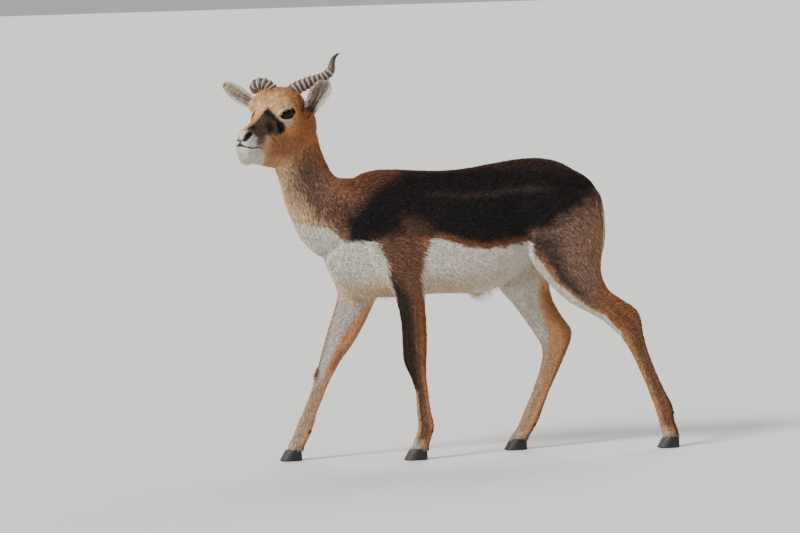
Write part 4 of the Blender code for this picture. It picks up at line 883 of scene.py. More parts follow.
def neck_marks(p):
    """Neck coat: cream to orange in front, grizzled at the sides, orange along the nape."""
    t, s = leg_place(p, NECK, 1.0)[:2]
    uneven = wobble(p, 0.03)
    front = smooth(-0.10, -0.85, s + 0.10 * uneven + 0.06 * wobble(p, 0.011))
    colour = layered(
        even(NECK_GRIZZLE, len(p)),
        (SLEEVE, 0.75 * smooth(4.2, 1.4, t)),
        (NAPE, smooth(0.20, 0.85, s + 0.10 * uneven)),
        (WITHERS, 0.8 * smooth(0.30, 0.9, s) * smooth(3.8, 2.0, t)),
        (ORANGE, 0.8 * smooth(4.8, 6.6, t + 0.3 * uneven)),
        (NECK_FRONT, 0.92 * front))
    return colour, 0.60 * smooth(1.0, 0.5, np.abs(s)) * smooth(7.2, 5.6, t) + 0.12


def ear_place(points, spec):
    """Place of points on an ear: u along it, v across it, and the height over it in half widths."""
    local = to_frame(ear_frame(spec).inverted(), points)
    u = local[:, 1] / spec[3]
    lobe = np.interp(u, *EAR_LOBE) * spec[4]
    v = np.clip(local[:, 0] / lobe, -1.3, 1.3)
    return u, v, local[:, 2] / spec[4]


# node groups and materials


def node_group(name, inputs, outputs):
    """Empty shader node group with named inputs and outputs; returns it and its end nodes."""
    group = bpy.data.node_groups.new(name, "ShaderNodeTree")
    for label, kind, value in inputs:
        group.interface.new_socket(label, in_out="INPUT", socket_type=kind).default_value = value
    for label, kind in outputs:
        group.interface.new_socket(label, in_out="OUTPUT", socket_type=kind)
    return group, group.nodes.new("NodeGroupInput"), group.nodes.new("NodeGroupOutput")


def add_node(tree, kind, values=None, **settings):
    """Node of a kind with its settings and its input values."""
    node = tree.nodes.new(kind)
    for key, value in settings.items():
        setattr(node, key, value)
    for key, value in (values or {}).items():
        node.inputs[key].default_value = value
    return node


def connect(tree, *links):
    """Link a tree's sockets: each link is a node, its output, a node and its input."""
    for source, output, target, socket in links:
        tree.links.new(source.outputs[output], target.inputs[socket])


def hair_grain_group():
    """Node group: fine hair grain. Colour is the coat colour darkened and lightened by fine and
    broad noise; height is the same noise for bump."""
    made = bpy.data.node_groups.get("hair grain")
    if made:
        return made
    group, start, end = node_group(
        "hair grain",
        [("Coat", "NodeSocketColor", (0.5, 0.5, 0.5, 1.0)), ("Strength", "NodeSocketFloat", 0.3),
         ("Scale", "NodeSocketFloat", 900.0)],
        [("Colour", "NodeSocketColor"), ("Height", "NodeSocketFloat")])
    place = add_node(group, "ShaderNodeTexCoord")
    fine = add_node(group, "ShaderNodeTexNoise", {"Detail": 2.0, "Roughness": 0.6})
    broad = add_node(group, "ShaderNodeTexNoise", {"Scale": 60.0, "Detail": 3.0})
    both = add_node(group, "ShaderNodeMath", {1: 0.6}, operation="MULTIPLY_ADD")
    scaled = add_node(group, "ShaderNodeMath", {1: 0.4}, operation="MULTIPLY")
    shade = add_node(group, "ShaderNodeMapRange",
                     {"From Min": 0.3, "From Max": 0.7, "To Min": 0.55, "To Max": 1.35})
    tint = add_node(group, "ShaderNodeMix", data_type="RGBA", blend_type="MULTIPLY")
    connect(group, (place, "Object", fine, "Vector"), (start, "Scale", fine, "Scale"),
            (place, "Object", broad, "Vector"), (fine, "Fac", both, 0), (broad, "Fac", scaled, 0),
            (scaled, 0, both, 2), (both, 0, shade, "Value"), (start, "Strength", tint, 0),
            (start, "Coat", tint, 6), (shade, 0, tint, 7), (tint, 2, end, "Colour"),
            (both, 0, end, "Height"))
    return group


def new_look(name, values):
    """New material whose shader has the given values; returns it, its tree and the shader."""
    made = bpy.data.materials.new(name)
    made.use_nodes = True
    shader = made.node_tree.nodes["Principled BSDF"]
    for key, value in values.items():
        shader.inputs[key].default_value = value
    return made, made.node_tree, shader


# hair materials: strength and scale of the grain, bump and roughness
HAIR_LOOKS = {"hide": (0.8, 700.0, 0.5, 0.72), "coat hair": (0.35, 1400.0, 0.25, 0.60),
              "lid skin": (0.5, 900.0, 0.3, 0.5)}
HAIR_SHEEN = {"Specular IOR Level": 0.16, "Sheen Weight": 0.04, "Sheen Roughness": 0.45}


def coat_material(name):
    """Hair material: the coat attribute through the hair grain group, with bump and soft sheen."""
    made = bpy.data.materials.get(name)
    if made:
        return made
    strength, scale, bump, roughness = HAIR_LOOKS[name]
    made, tree, shader = new_look(name, {"Roughness": roughness, **HAIR_SHEEN})
    coat = add_node(tree, "ShaderNodeAttribute", attribute_name="coat")
    grain = add_node(tree, "ShaderNodeGroup", {"Strength": strength, "Scale": scale},
                     node_tree=hair_grain_group())
    relief = add_node(tree, "ShaderNodeBump", {"Strength": bump, "Distance": 0.002})
    connect(tree, (coat, "Color", grain, "Coat"), (grain, "Colour", shader, "Base Color"),
            (grain, "Height", relief, "Height"), (relief, "Normal", shader, "Normal"))
    return made


def ramp_material(name, stops, values, scale, bump, stretch=(1.0, 1.0, 1.0), attribute=None):
    """Material whose colour runs through stops of (place, colour) on noise, or on an attribute
    that the noise shifts a little."""
    made, tree, shader = new_look(name, values)
    place = add_node(tree, "ShaderNodeTexCoord")
    turn = add_node(tree, "ShaderNodeMapping", {"Scale": stretch})
    noise = add_node(tree, "ShaderNodeTexNoise", {"Scale": scale, "Detail": 5.0, "Roughness": 0.6})
    ramp = add_node(tree, "ShaderNodeValToRGB")
    relief = add_node(tree, "ShaderNodeBump", {"Strength": bump, "Distance": 0.001})
    elements = ramp.color_ramp.elements
    for element, (spot, colour) in zip(elements, (stops[0], stops[-1])):
        element.position = spot
        element.color = (*colour, 1.0)
    for spot, colour in stops[1:-1]:
        elements.new(spot).color = (*colour, 1.0)
    source, output = noise, "Fac"
    if attribute:
        told = add_node(tree, "ShaderNodeAttribute", attribute_name=attribute)
        source, output = add_node(tree, "ShaderNodeMath", {1: 0.16}, operation="MULTIPLY_ADD"), 0
        connect(tree, (noise, "Fac", source, 0), (told, "Fac", source, 2))
    connect(tree, (place, "Object", turn, "Vector"), (turn, "Vector", noise, "Vector"),
            (source, output, ramp, "Fac"), (ramp, "Color", shader, "Base Color"),
            (noise, "Fac", relief, "Height"), (relief, "Normal", shader, "Normal"))
    return made


def set_attribute(mesh, name, values, kind="FLOAT"):
    """Point attribute of a mesh from an array."""
    layer = mesh.attributes.new(name, kind, "POINT")
    if kind == "FLOAT_COLOR":
        full = np.column_stack([values, np.ones(len(values))])
        layer.data.foreach_set("color", full.astype(np.float32).ravel())
    else:
        layer.data.foreach_set("value", values.astype(np.float32))


# skin


def eye_frame(side):
    """Matrix at an eye's middle: x forward along the lids, y up, z the way the eye looks."""
    out = Vector((EYE_FACING[0], EYE_FACING[1] * side, EYE_FACING[2])).normalized()
    lid_way = Vector((1.0, 0.0, LID_SLOPE))
    forward = (lid_way - out * out.dot(lid_way)).normalized()
    up = forward.cross(out) * side
    turn = Matrix((forward, up, out)).transposed().to_4x4()
    place = Vector((EYE_PLACE[0], EYE_PLACE[1] * side, EYE_PLACE[2]))
    return HEAD_MATRIX @ Matrix.Translation(place) @ turn


def modify(thing, name, kind, **settings):
    """Add a modifier with its settings to an object."""
    step = thing.modifiers.new(name, kind)
    for key, value in settings.items():
        setattr(step, key, value)


def melt_skin():
    """Lofts of trunk, neck, legs and skull melted into one surface and thinned on the body."""
    body = [outline_rings(TORSO, 0.0, TORSO[:, 4], TORSO[:, 5], TRUNK_POWER), limb_rings(NECK),
            ball_rings(*BELLY_TUFT)]
    body += [limb_rings(rows, sign) for rows, sign in LEGS.values()]
    skull = [outline_rings(HEAD, 0.0, HEAD[:, 4], HEAD[:, 5], HEAD[:, 6], SKULL_STEP)]
    skull += [ball_rings(form[:3] * (1.0, sign, 1.0), form[3:])
              for form in HEAD_FORMS for sign in (1.0, -1.0)]
    pieces = [(grid, SHIFT_MATRIX) for grid in body]
    pieces += [(ear_root(spec), ear_frame(spec)) for spec in EARS.values()]
    pieces += [(grid, HEAD_MATRIX) for grid in skull]
    work = bmesh.new()
    for grid, matrix in pieces:
        work.from_mesh(closed_mesh("melted form", grid, matrix))
    mesh = bpy.data.meshes.new("skin")
    work.to_mesh(mesh)
    work.free()
    skin = add_object("skin", mesh)
    modify(skin, "one surface", "REMESH", mode="VOXEL", voxel_size=VOXEL)
    apply_modifiers(skin)
    head = head_share(points_of(skin.data)) > 0.5
    group = skin.vertex_groups.new(name="body")
    group.add(np.nonzero(~head)[0].tolist(), 1.0, "REPLACE")
    modify(skin, "soft joins", "SMOOTH", factor=0.5, iterations=HEAD_PASSES)
    modify(skin, "softer body", "SMOOTH", factor=0.5, iterations=BODY_PASSES, vertex_group="body")
    modify(skin, "triangles", "TRIANGULATE", quad_method="BEAUTY")
    modify(skin, "fewer faces on the body", "DECIMATE", vertex_group="body",
           ratio=SKIN_TRIANGLES / (2 * len(skin.data.polygons)))
    apply_modifiers(skin)
    skin.vertex_groups.clear()
    return skin


def head_share(points):
    """1 on the head and 0 on the neck, by the distance ahead of the cut behind the jaw."""
    p = points - SHIFT
    ahead = (p - JAW_CUT) @ JAW_CUT_WAY
    return smooth(-0.006, 0.006, ahead) * (p[:, 2] > JAW_FLOOR)


def ear_root(spec):
    """Fleshy root of an ear in the ear's frame: rings of an ellipse along the ear's first tenth."""
    length, half_width = spec[3:]
    u = np.linspace(*EAR_ROOT_SPAN, 7)
    size = np.interp(u, *EAR_LOBE) * half_width * np.interp(u, *EAR_ROOT_SIZE)
    turn = ring_turn(24)
    x = size[:, None] * np.cos(turn)
    z = size[:, None] * np.sin(turn) * 0.8 - EAR_ROOT_DROP
    y = (u * length)[:, None] + 0 * x
    return np.stack([x, y, z], axis=-1)


def ear_leaf(side):
    """Ear as a curled leaf. Across the leaf the sheet follows an arc whose half angle falls from
    root to tip; the wall is thickest in the middle and thins to the rim."""
    length, half_width = EARS[side][3:]
    u = np.linspace(EAR_LOBE[0][0], 1.0, EAR_ROWS)
    v = np.linspace(-1.0, 1.0, EAR_COLUMNS)
    lobe = np.interp(u, *EAR_LOBE) * (half_width - 0.0010)
    curl = np.radians(np.interp(u, *EAR_CURL))
    angle = v[None, :] * curl[:, None]
    bend = lobe[:, None] / np.sin(np.minimum(curl, math.pi / 2))[:, None]
    x = bend * np.sin(angle)
    z = -bend * np.cos(angle) + bend * EAR_BOWL
    y = (u * (length - 0.001))[:, None] + 0.0 * x
    sheet = np.stack([x, y, z], axis=-1)
    normal = np.stack([np.sin(angle), 0.0 * angle, -np.cos(angle)], axis=-1)
    half = (EAR_FLESH / 2 * np.interp(u, *EAR_WALL)[:, None]
            * (1.0 - 0.75 * np.abs(v[None, :]) ** 5))[:, :, None]
    grid = np.concatenate([sheet + normal * half, (sheet - normal * half)[:, ::-1]], axis=1)
    rings, sides = grid.shape[:2]
    ends = []
    base = (rings - 1) * sides
    for i in range(sides // 2 - 1):
        ends.append((i + 1, i, sides - 1 - i, sides - 2 - i))
        ends.append((base + i, base + i + 1, base + sides - 2 - i, base + sides - 1 - i))
    faces = np.vstack([grid_faces(rings, sides), np.array(ends)])
    mesh = outward(new_mesh("ear " + side, grid.reshape(-1, 3), faces))
    mesh.transform(ear_frame(EARS[side]))
    return mesh


def union(thing, mesh):
    """Fuse a closed mesh into an object."""
    tool = add_object("tool", mesh)
    modify(thing, "fuse", "BOOLEAN", operation="UNION", solver="MANIFOLD", object=tool)
    apply_modifiers(thing)
    bpy.data.objects.remove(tool, do_unlink=True)


def coat_depth(points):
    """How far the hair stands above the skin: deep on trunk and neck, thin on legs and face."""
    p = points - SHIFT
    depth = 0.0012 + 0.0022 * smooth(0.40, 0.50, p[:, 2])
    head = head_share(points)
    return depth * (1 - head) + 0.0010 * head


def relax(points, triangles, weight, passes):
    """Laplacian smoothing of points by a weight each: a pass moves a point to the mean of its
    neighbours by its weight."""
    a, b = triangles[:, [0, 1, 2]].ravel(), triangles[:, [1, 2, 0]].ravel()
    start, end = np.concatenate([a, b]), np.concatenate([b, a])
    near = weight[start] > 0
    start, end = start[near], end[near]
    number = np.bincount(start, minlength=len(points)).clip(1)
    for _ in range(passes):
        mean = np.column_stack([np.bincount(start, points[end, k], len(points)) for k in range(3)])
        mean /= number[:, None]
        points = points + (mean - points) * weight[:, None]
    return points


# soft muscles and hollows of the body: place in the drawing frame, radii and height
BODY_FORMS = mm([
    (-205, 80, 610, 55, 60, 75, 5), (-165, 85, 690, 40, 60, 60, -3), (-45, 90, 640, 45, 60, 90, -5),
    (-120, 80, 520, 50, 50, 45, 4), (-60, 80, 480, 25, 50, 30, 3), (60, 100, 600, 80, 60, 80, 3),
    (190, 95, 660, 40, 60, 60, -8), (215, 85, 560, 30, 60, 45, -4), (262, 80, 745, 30, 40, 30, 4),
    (310, 95, 620, 60, 60, 80, 5), (395, 40, 700, 22, 30, 22, 4), (370, 70, 560, 30, 50, 70, 3),
])


def add_forms(lift, places, forms):
    """Add soft Gaussian hills and hollows, each a row of place, radii and height, to the lifts."""
    for form in forms:
        q = (places - form[:3]) / form[3:6]
        lift += form[6] * np.exp(-(q**2).sum(axis=1))


def model_body(points, normals):
    """Move body points along their normals by soft forms on both sides, with grooves between
    bone and tendon along the cannons."""
    p = points - SHIFT
    lift = np.zeros(len(p))
    add_forms(lift, np.column_stack([p[:, 0], np.abs(p[:, 1]), p[:, 2]]), BODY_FORMS)
    leg = leg_places(p)
    lift -= (smooth(0.40, 0.34, p[:, 2]) * TENDON_GROOVE * np.exp(-((leg.s - 0.25) / 0.22) ** 2)
             * smooth(0.2, 0.7, np.abs(leg.w)) * smooth(0.10, 0.13, p[:, 2]))
    return points + normals * (lift * (1 - head_share(points)))[:, None]


# soft forms of the face on both sides: place in the head's frame, radii and height
FACE_FORMS = mm([
    (24, 44, 27, 20, 20, 8, 2.2), (46, 30, 10, 10, 16, 14, -1.2), (-22, 50, 16, 18, 22, 16, -3),
    (26, 50, -34, 32, 20, 7, 2), (20, 50, -19, 20, 20, 6, -1.8), (-22, 50, -80, 30, 22, 32, 3),
    (30, 45, -88, 14, 22, 26, -2.2), (78, 32, -80, 22, 18, 18, -1.8), (104, 28, -62, 16, 16, 12, 1.4),
    (95, 0, -12, 30, 6, 12, 1),
])
# grooves of the face: line of (forward, up), width, depth (less than 0 for a ridge) and how far
# from the middle plane they start; they are the gland's pit, its front edge, cheek and jaw
FACE_GROOVES = [
    (mm([(50, -8), (47, -24), (41.5, -42)]), 0.0034, 0.0060, 0.028),
    (mm([(61, -6), (60, -26), (52, -46)]), 0.0050, -0.0016, 0.028),
    (mm([(73.6, -50.7), (60.3, -61.5), (46.5, -69.7)]), 0.0030, 0.0012, 0.022),
    (mm([(20, -62), (0, -85), (-16, -110)]), 0.0080, 0.0022, 0.022),
]


def model_face(points, normals):
    """Pits for the eyes, the gland, nostrils, the line of the mouth and folds of the face; returns
    the moved points and how far each one lies in a nostril."""
    h = in_head(points)
    head = head_share(points)
    f, side, u = h[:, 0], np.abs(h[:, 1]), h[:, 2]
    flat = h[:, [0, 2]]
    lift = np.zeros(len(h))
    for line, width, depth, near in FACE_GROOVES:
        lift -= depth * np.exp(-(line_gap(flat, line) / width) ** 2) * (side > near)
    # mouth, nostrils with their raised rims, the groove between them, and the two lips
    above = u - mouth_height(f)
    lift -= 0.0030 * np.exp(-(np.abs(above) / 0.0016) ** 2) * smooth(0.095, 0.104, f)
    gap = depth_in(flat, NOSTRIL_SHAPE)
    inner = nostril_edge(u)
    aside = smooth(inner, inner + 0.003, side)
    lift -= 0.0075 * smooth(-0.0008, 0.0022, gap) * aside
    lift += 0.0022 * np.exp(-((gap + 0.0022) / 0.0020) ** 2) * aside * smooth(0.116, 0.124, f)
    lift -= 0.0016 * np.exp(-(side / 0.0016) ** 2) * smooth(0.143, 0.150, f)
    lift += 0.0012 * np.exp(-((above - 0.0045) / 0.0030) ** 2) * smooth(0.100, 0.120, f)
    lift += 0.0012 * np.exp(-((above + 0.0045) / 0.0030) ** 2) * smooth(0.105, 0.125, f)
    add_forms(lift, np.column_stack([f, side, u]), FACE_FORMS)
    lift += 0.0011 * crown_share(h) * wobble(points, 0.015)
    # the muzzle narrows towards its tip and its front slopes back from the lip
    h = in_head(points + normals * (lift * head)[:, None])
    h[:, 1] *= 1.0 - MUZZLE_TAPER * smooth(0.110, 0.150, h[:, 0]) * head
    h[:, 0] -= MUZZLE_SLOPE * smooth(0.140, 0.156, h[:, 0]) * head
    moved = to_frame(HEAD_MATRIX, h)
    for sign in (1.0, -1.0):
        turn = eye_frame(sign)
        e = to_frame(turn.inverted(), moved)
        pit = smooth(1.12, 0.96, lid_share(e[:, 0], e[:, 1])) * (e[:, 2] > -0.01) * head
        e[:, 2] = e[:, 2] * (1 - pit) + np.minimum(EYE_BED, e[:, 2]) * pit
        moved = np.where(pit[:, None] > 0, to_frame(turn, e), moved)
    return moved, smooth(-0.0012, 0.0010, gap) * aside * head


def lid_line(turn):
    """Almond of the lids as x and y over an angle: an ellipse drawn in towards its ends."""
    x = LID_MIDDLE[0] + LID_HALF[0] * np.cos(turn)
    y = LID_MIDDLE[1] + LID_HALF[1] * np.sin(turn) * (1 - LID_SHARPNESS * np.cos(turn) ** 2)
    return x, y


def lid_share(x, y):
    """How far out a place lies from the middle of the lids' almond: 1 on its line."""
    turn = np.arctan2((y - LID_MIDDLE[1]) / LID_HALF[1], (x - LID_MIDDLE[0]) / LID_HALF[0])
    line_x, line_y = lid_line(turn)
    return (np.hypot(x - LID_MIDDLE[0], y - LID_MIDDLE[1])
            / np.hypot(line_x - LID_MIDDLE[0], line_y - LID_MIDDLE[1]))


EarPlace = namedtuple("EarPlace", "label u v depth")


def ear_of(points):
    """Which ear a point belongs to: 0 none, 1 left, 2 right, with its place on it."""
    label = np.zeros(len(points), dtype=int)
    u, v, depth = np.zeros((3, len(points)))
    for number, spec in enumerate(EARS.values(), 1):
        uu, vv, dd = ear_place(points, spec)
        pick = (uu > 0.06) & (uu < 1.05) & (np.abs(vv) < 1.25) & (np.abs(dd) < 1.9)
        label[pick], u[pick], v[pick], depth[pick] = number, uu[pick], vv[pick], dd[pick]
    return EarPlace(label, u, v, depth)


def ear_marks(u, v, depth, facing):
    """Ear coat: tan outside with a dark tip, grey-white hair inside with dark lines, pale rim."""
    streak = smooth(-0.35, 0.25, wobble(np.column_stack([9.0 * v, u * 1.6, depth]), 3.1))
    rim = np.maximum(smooth(0.58, 0.74, np.abs(v)) * smooth(0.15, 0.35, u), smooth(0.86, 0.93, u))
    cup = layered(
        even(EAR_INSIDE, len(u)),
        (EAR_STREAK, 0.92 * streak * smooth(0.80, 0.50, np.abs(v)) * smooth(0.95, 0.60, u)),
        (EAR_STREAK, 0.85 * smooth(0.40, 0.12, u)))
    return layered(
        even(DEEP_ORANGE, len(u)),
        (SLEEVE, smooth(0.55, 0.95, u)),
        (cup, smooth(-0.1, 0.3, facing)),
        (WHITE_HAIR, 0.95 * rim * smooth(-0.35, -0.05, facing)))


def coat_marks(points, normals):
    """Colour and flecks anywhere on the skin."""
    colour, fleck = body_marks(points)
    head = head_share(points)
    pick = head > 0
    head_colour, head_fleck = head_marks(points[pick])
    colour[pick] = mixed(colour[pick], head_colour, head[pick])
    fleck[pick] = fleck[pick] * (1 - head[pick]) + head_fleck * head[pick]
    ear = ear_of(points)
    for number, spec in enumerate(EARS.values(), 1):
        pick = ear.label == number
        u = ear.u[pick]
        facing = normals[pick] @ np.array(ear_frame(spec).to_3x3())[:, 2]
        tone = ear_marks(u, ear.v[pick], ear.depth[pick], facing)
        colour[pick] = mixed(colour[pick], tone, smooth(0.06, 0.16, u))
        fleck[pick] = EAR_FLECK
    return colour, fleck


def refine(mesh, pick):
    """Split every edge whose two ends are picked, so that the faces there are half as large."""
    chosen = pick(points_of(mesh))
    work = bmesh.new()
    work.from_mesh(mesh)
    edges = [e for e in work.edges if chosen[e.verts[0].index] and chosen[e.verts[1].index]]
    bmesh.ops.subdivide_edges(work, edges=edges, cuts=1, use_grid_fill=True)
    bmesh.ops.triangulate(work, faces=[face for face in work.faces if len(face.verts) > 3])
    work.to_mesh(mesh)
    work.free()


def fine_face(points):
    """Places on the muzzle and round the glands, where the face is modelled finely."""
    f, side, u = in_head(points).T
    muzzle = (f > 0.118) & (u > -0.100)
    gland = (np.abs(f - 0.047) < 0.014) & (np.abs(u + 0.026) < 0.026) & (np.abs(side) > 0.026)
    return (muzzle | gland) & (head_share(points) > 0.5)


def build_skin():
    """Skin: melted lofts with ears and tail fused on, modelled, and sunk by the coat's depth."""
    skin = melt_skin()
    for side in EARS:
        union(skin, ear_leaf(side))
    union(skin, closed_mesh("tail", limb_rings(TAIL, sides=24), SHIFT_MATRIX))
    mesh = skin.data
    refine(mesh, fine_face)
    points, normals = points_of(mesh), points_of(mesh, "normal")
    triangles = triangles_of(mesh)
    points = model_body(points, normals)
    # soften the joins of tail and ears
    root = smooth(0.035, 0.015, np.linalg.norm(points - SHIFT - TAIL_ROOT, axis=1))
    for spec in EARS.values():
        place = np.array(ear_frame(spec).translation)
        root = np.maximum(root, smooth(0.032, 0.018, np.linalg.norm(points - place, axis=1)) * 0.8)
    points = relax(points, triangles, 0.5 * root, 8)
    on_body = ear_of(points).label == 0
    set_points(mesh, points)
    points = points - points_of(mesh, "normal") * (coat_depth(points) * on_body)[:, None]
    set_points(mesh, points)
    points, nostril = model_face(points, points_of(mesh, "normal"))
    set_points(mesh, points)
    set_attribute(mesh, "nostril", nostril)
    skin.name = "skin"
    mesh.name = "skin"
    return skin


# coat


def lie_of(points, normals):
    """Way the hair lies: tailward and down on the trunk, down the neck and the legs, and back
    over the face, laid flat on the skin."""
    p = points - SHIFT
    x, z = p[:, 0], p[:, 2]
    h = in_head(points)
    way = even((1.0, 0.0, -0.20), len(p))
    way[:, 2] -= 0.5 * smooth(0.62, 0.50, z)
    way += smooth(0.26, 0.40, x)[:, None] * np.array([-0.3, 0.0, -1.1])
    back = np.column_stack([-np.ones(len(p)), 0.25 * np.sign(h[:, 1]),
                            -0.35 - 0.5 * smooth(-0.02, -0.08, h[:, 2])])
    back[:, 2] += 0.75 * smooth(0.02, 0.05, h[:, 2])
    way = layered(
        way,
        ((0.42, 0.0, -1.0), smooth(-0.20, -0.31, x) * smooth(0.56, 0.66, z)),
        ((0.35, 0.0, -1.0), smooth(-0.22, -0.33, x) * smooth(0.64, 0.54, z)),
        (leg_places(p).down + np.array([0.12, 0.0, 0.0]), smooth(0.52, 0.40, z)),
        (turned(HEAD_MATRIX, back), head_share(points)))
    ears = ear_of(points).label
    for number, spec in enumerate(EARS.values(), 1):
        way[ears == number] = np.array(ear_frame(spec).to_3x3())[:, 1]
    way[(x > 0.40) & (np.abs(p[:, 1]) < 0.025)] = (0.0, 0.0, -1.0)
    way -= normals * (way * normals).sum(axis=1)[:, None]
    return unit(way)


def crown_share(h):
    """1 on the forehead and crown, where the hair is bushy, 0 on the rest of the head."""
    return smooth(0.012, 0.030, h[:, 2]) * smooth(0.062, 0.045, h[:, 0])


# locks of the body over the height: length, width and spacing; then how far those of the head
# shrink towards the nose, and the locks of the ears
LOCK_HEIGHTS = (0.03, 0.12, 0.30, 0.45, 0.60)
LOCK_LENGTHS = (0.008, 0.009, 0.011, 0.014, 0.016)
LOCK_WIDTHS = (0.0010, 0.0011, 0.0012, 0.0014, 0.0015)
LOCK_GAPS = (0.0026, 0.0027, 0.0028, 0.0031, 0.0032)
NOSE_SHRINK = ((-0.06, 0.03, 0.11, 0.15), (1.0, 0.8, 0.55, 0.4))
EAR_LOCK = (0.0050, 0.0008, 0.0018)
# length of a lock that has the whole lift; shorter ones have less
FULL_LOCK = 0.014


def lock_sizes(points):
    """Length, width and spacing of the locks at places on the skin, in metres."""
    z = (points - SHIFT)[:, 2]
    head = head_share(points)
    h = in_head(points)
    fine = np.interp(h[:, 0], *NOSE_SHRINK)
    bushy = crown_share(h) * smooth(-0.050, -0.015, h[:, 0])
    on_head = ((0.0090 + 0.0060 * bushy) * fine, (0.0011 + 0.0003 * bushy) * (0.4 + 0.6 * fine),
               0.0022 * (0.55 + 0.45 * fine))
    ears = ear_of(points).label > 0
    sizes = []
    for table, there, ear in zip((LOCK_LENGTHS, LOCK_WIDTHS, LOCK_GAPS), on_head, EAR_LOCK):
        size = np.interp(z, LOCK_HEIGHTS, table) * (1 - head) + there * head
        sizes.append(np.where(ears, ear, size))
    return sizes


def nostrils_of(mesh):
    """How far each point of the skin lies in a nostril."""
    out = np.empty(len(mesh.vertices), dtype=np.float32)
    mesh.attributes["nostril"].data.foreach_get("value", out)
    return out


def bare_skin(points):
    """Places with no hair: the eyes' pits, lips, and the feet inside the hooves."""
    h = in_head(points)
    bare = points[:, 2] < HOOF_TOP - 0.004
    for sign in (1.0, -1.0):
        e = to_frame(eye_frame(sign).inverted(), points)
        bare |= (lid_share(e[:, 0], e[:, 1]) < 1.24) & (np.abs(e[:, 2]) < 0.03)
    face = head_share(points) > 0.5
    bare |= face & (np.abs(h[:, 2] - mouth_height(h[:, 0])) < 0.002) & (h[:, 0] > 0.096)
    return bare


def sow_roots(mesh, rng):
    """Random places on a mesh's triangles, as many on each as its area holds at its spacing."""
    points, normals = points_of(mesh), points_of(mesh, "normal")
    triangles = triangles_of(mesh)
    a, b, c = (points[triangles[:, k]] for k in range(3))
    area = np.linalg.norm(np.cross(b - a, c - a), axis=1) / 2
    gap = lock_sizes((a + b + c) / 3)[2]
    number = rng.poisson(area / gap**2)
    pick = np.repeat(np.arange(len(triangles)), number)
    first, second = rng.random(len(pick)), rng.random(len(pick))
    over = first + second > 1
    first[over], second[over] = 1 - first[over], 1 - second[over]
    share = np.column_stack([1 - first - second, first, second])[:, :, None]
    corner = triangles[pick]
    roots = (points[corner] * share).sum(axis=1)
    up = unit((normals[corner] * share).sum(axis=1))
    nostril = (nostrils_of(mesh)[corner] * share[:, :, 0]).sum(axis=1)
    keep = ~bare_skin(roots) & (nostril < 0.15)
    return roots[keep], up[keep]


LOCK_FACES = np.array([(0, 2, 1), (0, 1, 4), (0, 4, 3), (1, 2, 5), (1, 5, 4), (2, 0, 3), (2, 3, 5),
                       (3, 4, 6), (4, 5, 6), (5, 3, 6)])
# painted shade along each lock: darkest at the sunk root among the other locks, a little lighter at the
# tip
LOCK_PAINTED_SHADES = np.array([0.72, 0.72, 0.78, 0.98, 0.98, 1.02, 1.10])


def lock_points(roots, up, way, length, width, lift, curl):
    """Seven points of each lock: a low triangle sunk at the root, one half way, and the tip.

    The half-way place is root + way length / 2 + 0.8 up lift + 0.3 side curl, and the tip is
    root + way length + 0.95 up lift + side curl. A triangle's lower corners lie about half the
    width aside and its upper one 0.42 of the width up."""
    side = np.cross(up, way)
    thick = up * (width * 0.42)[:, None]
    base = roots - up * 0.0004
    middle = (roots + way * (length * 0.50)[:, None] + up * (lift * 0.80)[:, None]
              + side * (curl * 0.3)[:, None])
    tip = roots + way * length[:, None] + up * (lift * 0.95)[:, None] + side * curl[:, None]
    half = side * (width / 2)[:, None]
    wide = side * (width * 0.55)[:, None]
    return np.stack([base - half, base + half, base + thick, middle - wide, middle + wide,
                     middle + thick, tip], axis=1)


def round_turn(aside, up):
    """Share of a full turn, 0 to 1, of the way to a place."""
    return np.arctan2(aside, up) / (2 * math.pi) + 0.5


def unwrap_place(points, region):
    """Place of roots on the unwrap of the skin: round each limb or the trunk across, and along it
    upwards, each region filling the square."""
    p = points - SHIFT
    if region.startswith("leg"):
        leg = leg_places(p)
        across = (round_turn(leg.w, leg.s) + leg.label % 2) / 2
        return np.column_stack([across, (LEG_SPAN[0] - p[:, 2]) / LEG_SPAN[1]])
    if region == "neck":
        neck = leg_place(p, NECK, 1.0)
        return np.column_stack([round_turn(neck.w, neck.s), neck.t / NECK_SPAN])
    if region in ("head", "face", "ears"):
        h = in_head(points)
        along = (h[:, 0] - HEAD_SPAN[0]) / HEAD_SPAN[1]
        return np.column_stack([round_turn(h[:, 1], h[:, 2] - HEAD_AXIS), along])
    middle = np.interp(p[:, 0], *TRUNK_MIDDLE)
    along = (p[:, 0] - TRUNK_SPAN[0]) / TRUNK_SPAN[1]
    return np.column_stack([round_turn(p[:, 1], p[:, 2] - middle), along])


def coat_regions(points):
    """Name of the coat piece each root belongs to."""
    p = points - SHIFT
    x, aside, z = p[:, 0], np.abs(p[:, 1]), p[:, 2]
    names = np.full(len(p), "flank_rear", dtype=object)
    for name, edge in FLANK_EDGES:
        names[x < edge] = name
    edge_x, edge_height, edge_slope = NECK_EDGE
    names[(x < NECK_START) & (z > edge_height + edge_slope * (x - edge_x))] = "neck"
    belly = (aside < BELLY_STRIP[0]) & (z > BELLY_STRIP[1])
    leg = (z < LEG_TOP) & (~belly | (z < INNER_LEG_TOP))
    names[leg] = np.array(["leg_" + name for name in LEG_NAMES], dtype=object)[which_leg(p)][leg]
    head = head_share(points) > 0.5
    names[head] = "head"
    names[head & (in_head(points)[:, 0] > FACE_START)] = "face"
    names[ear_of(points).label > 0] = "ears"
    return names


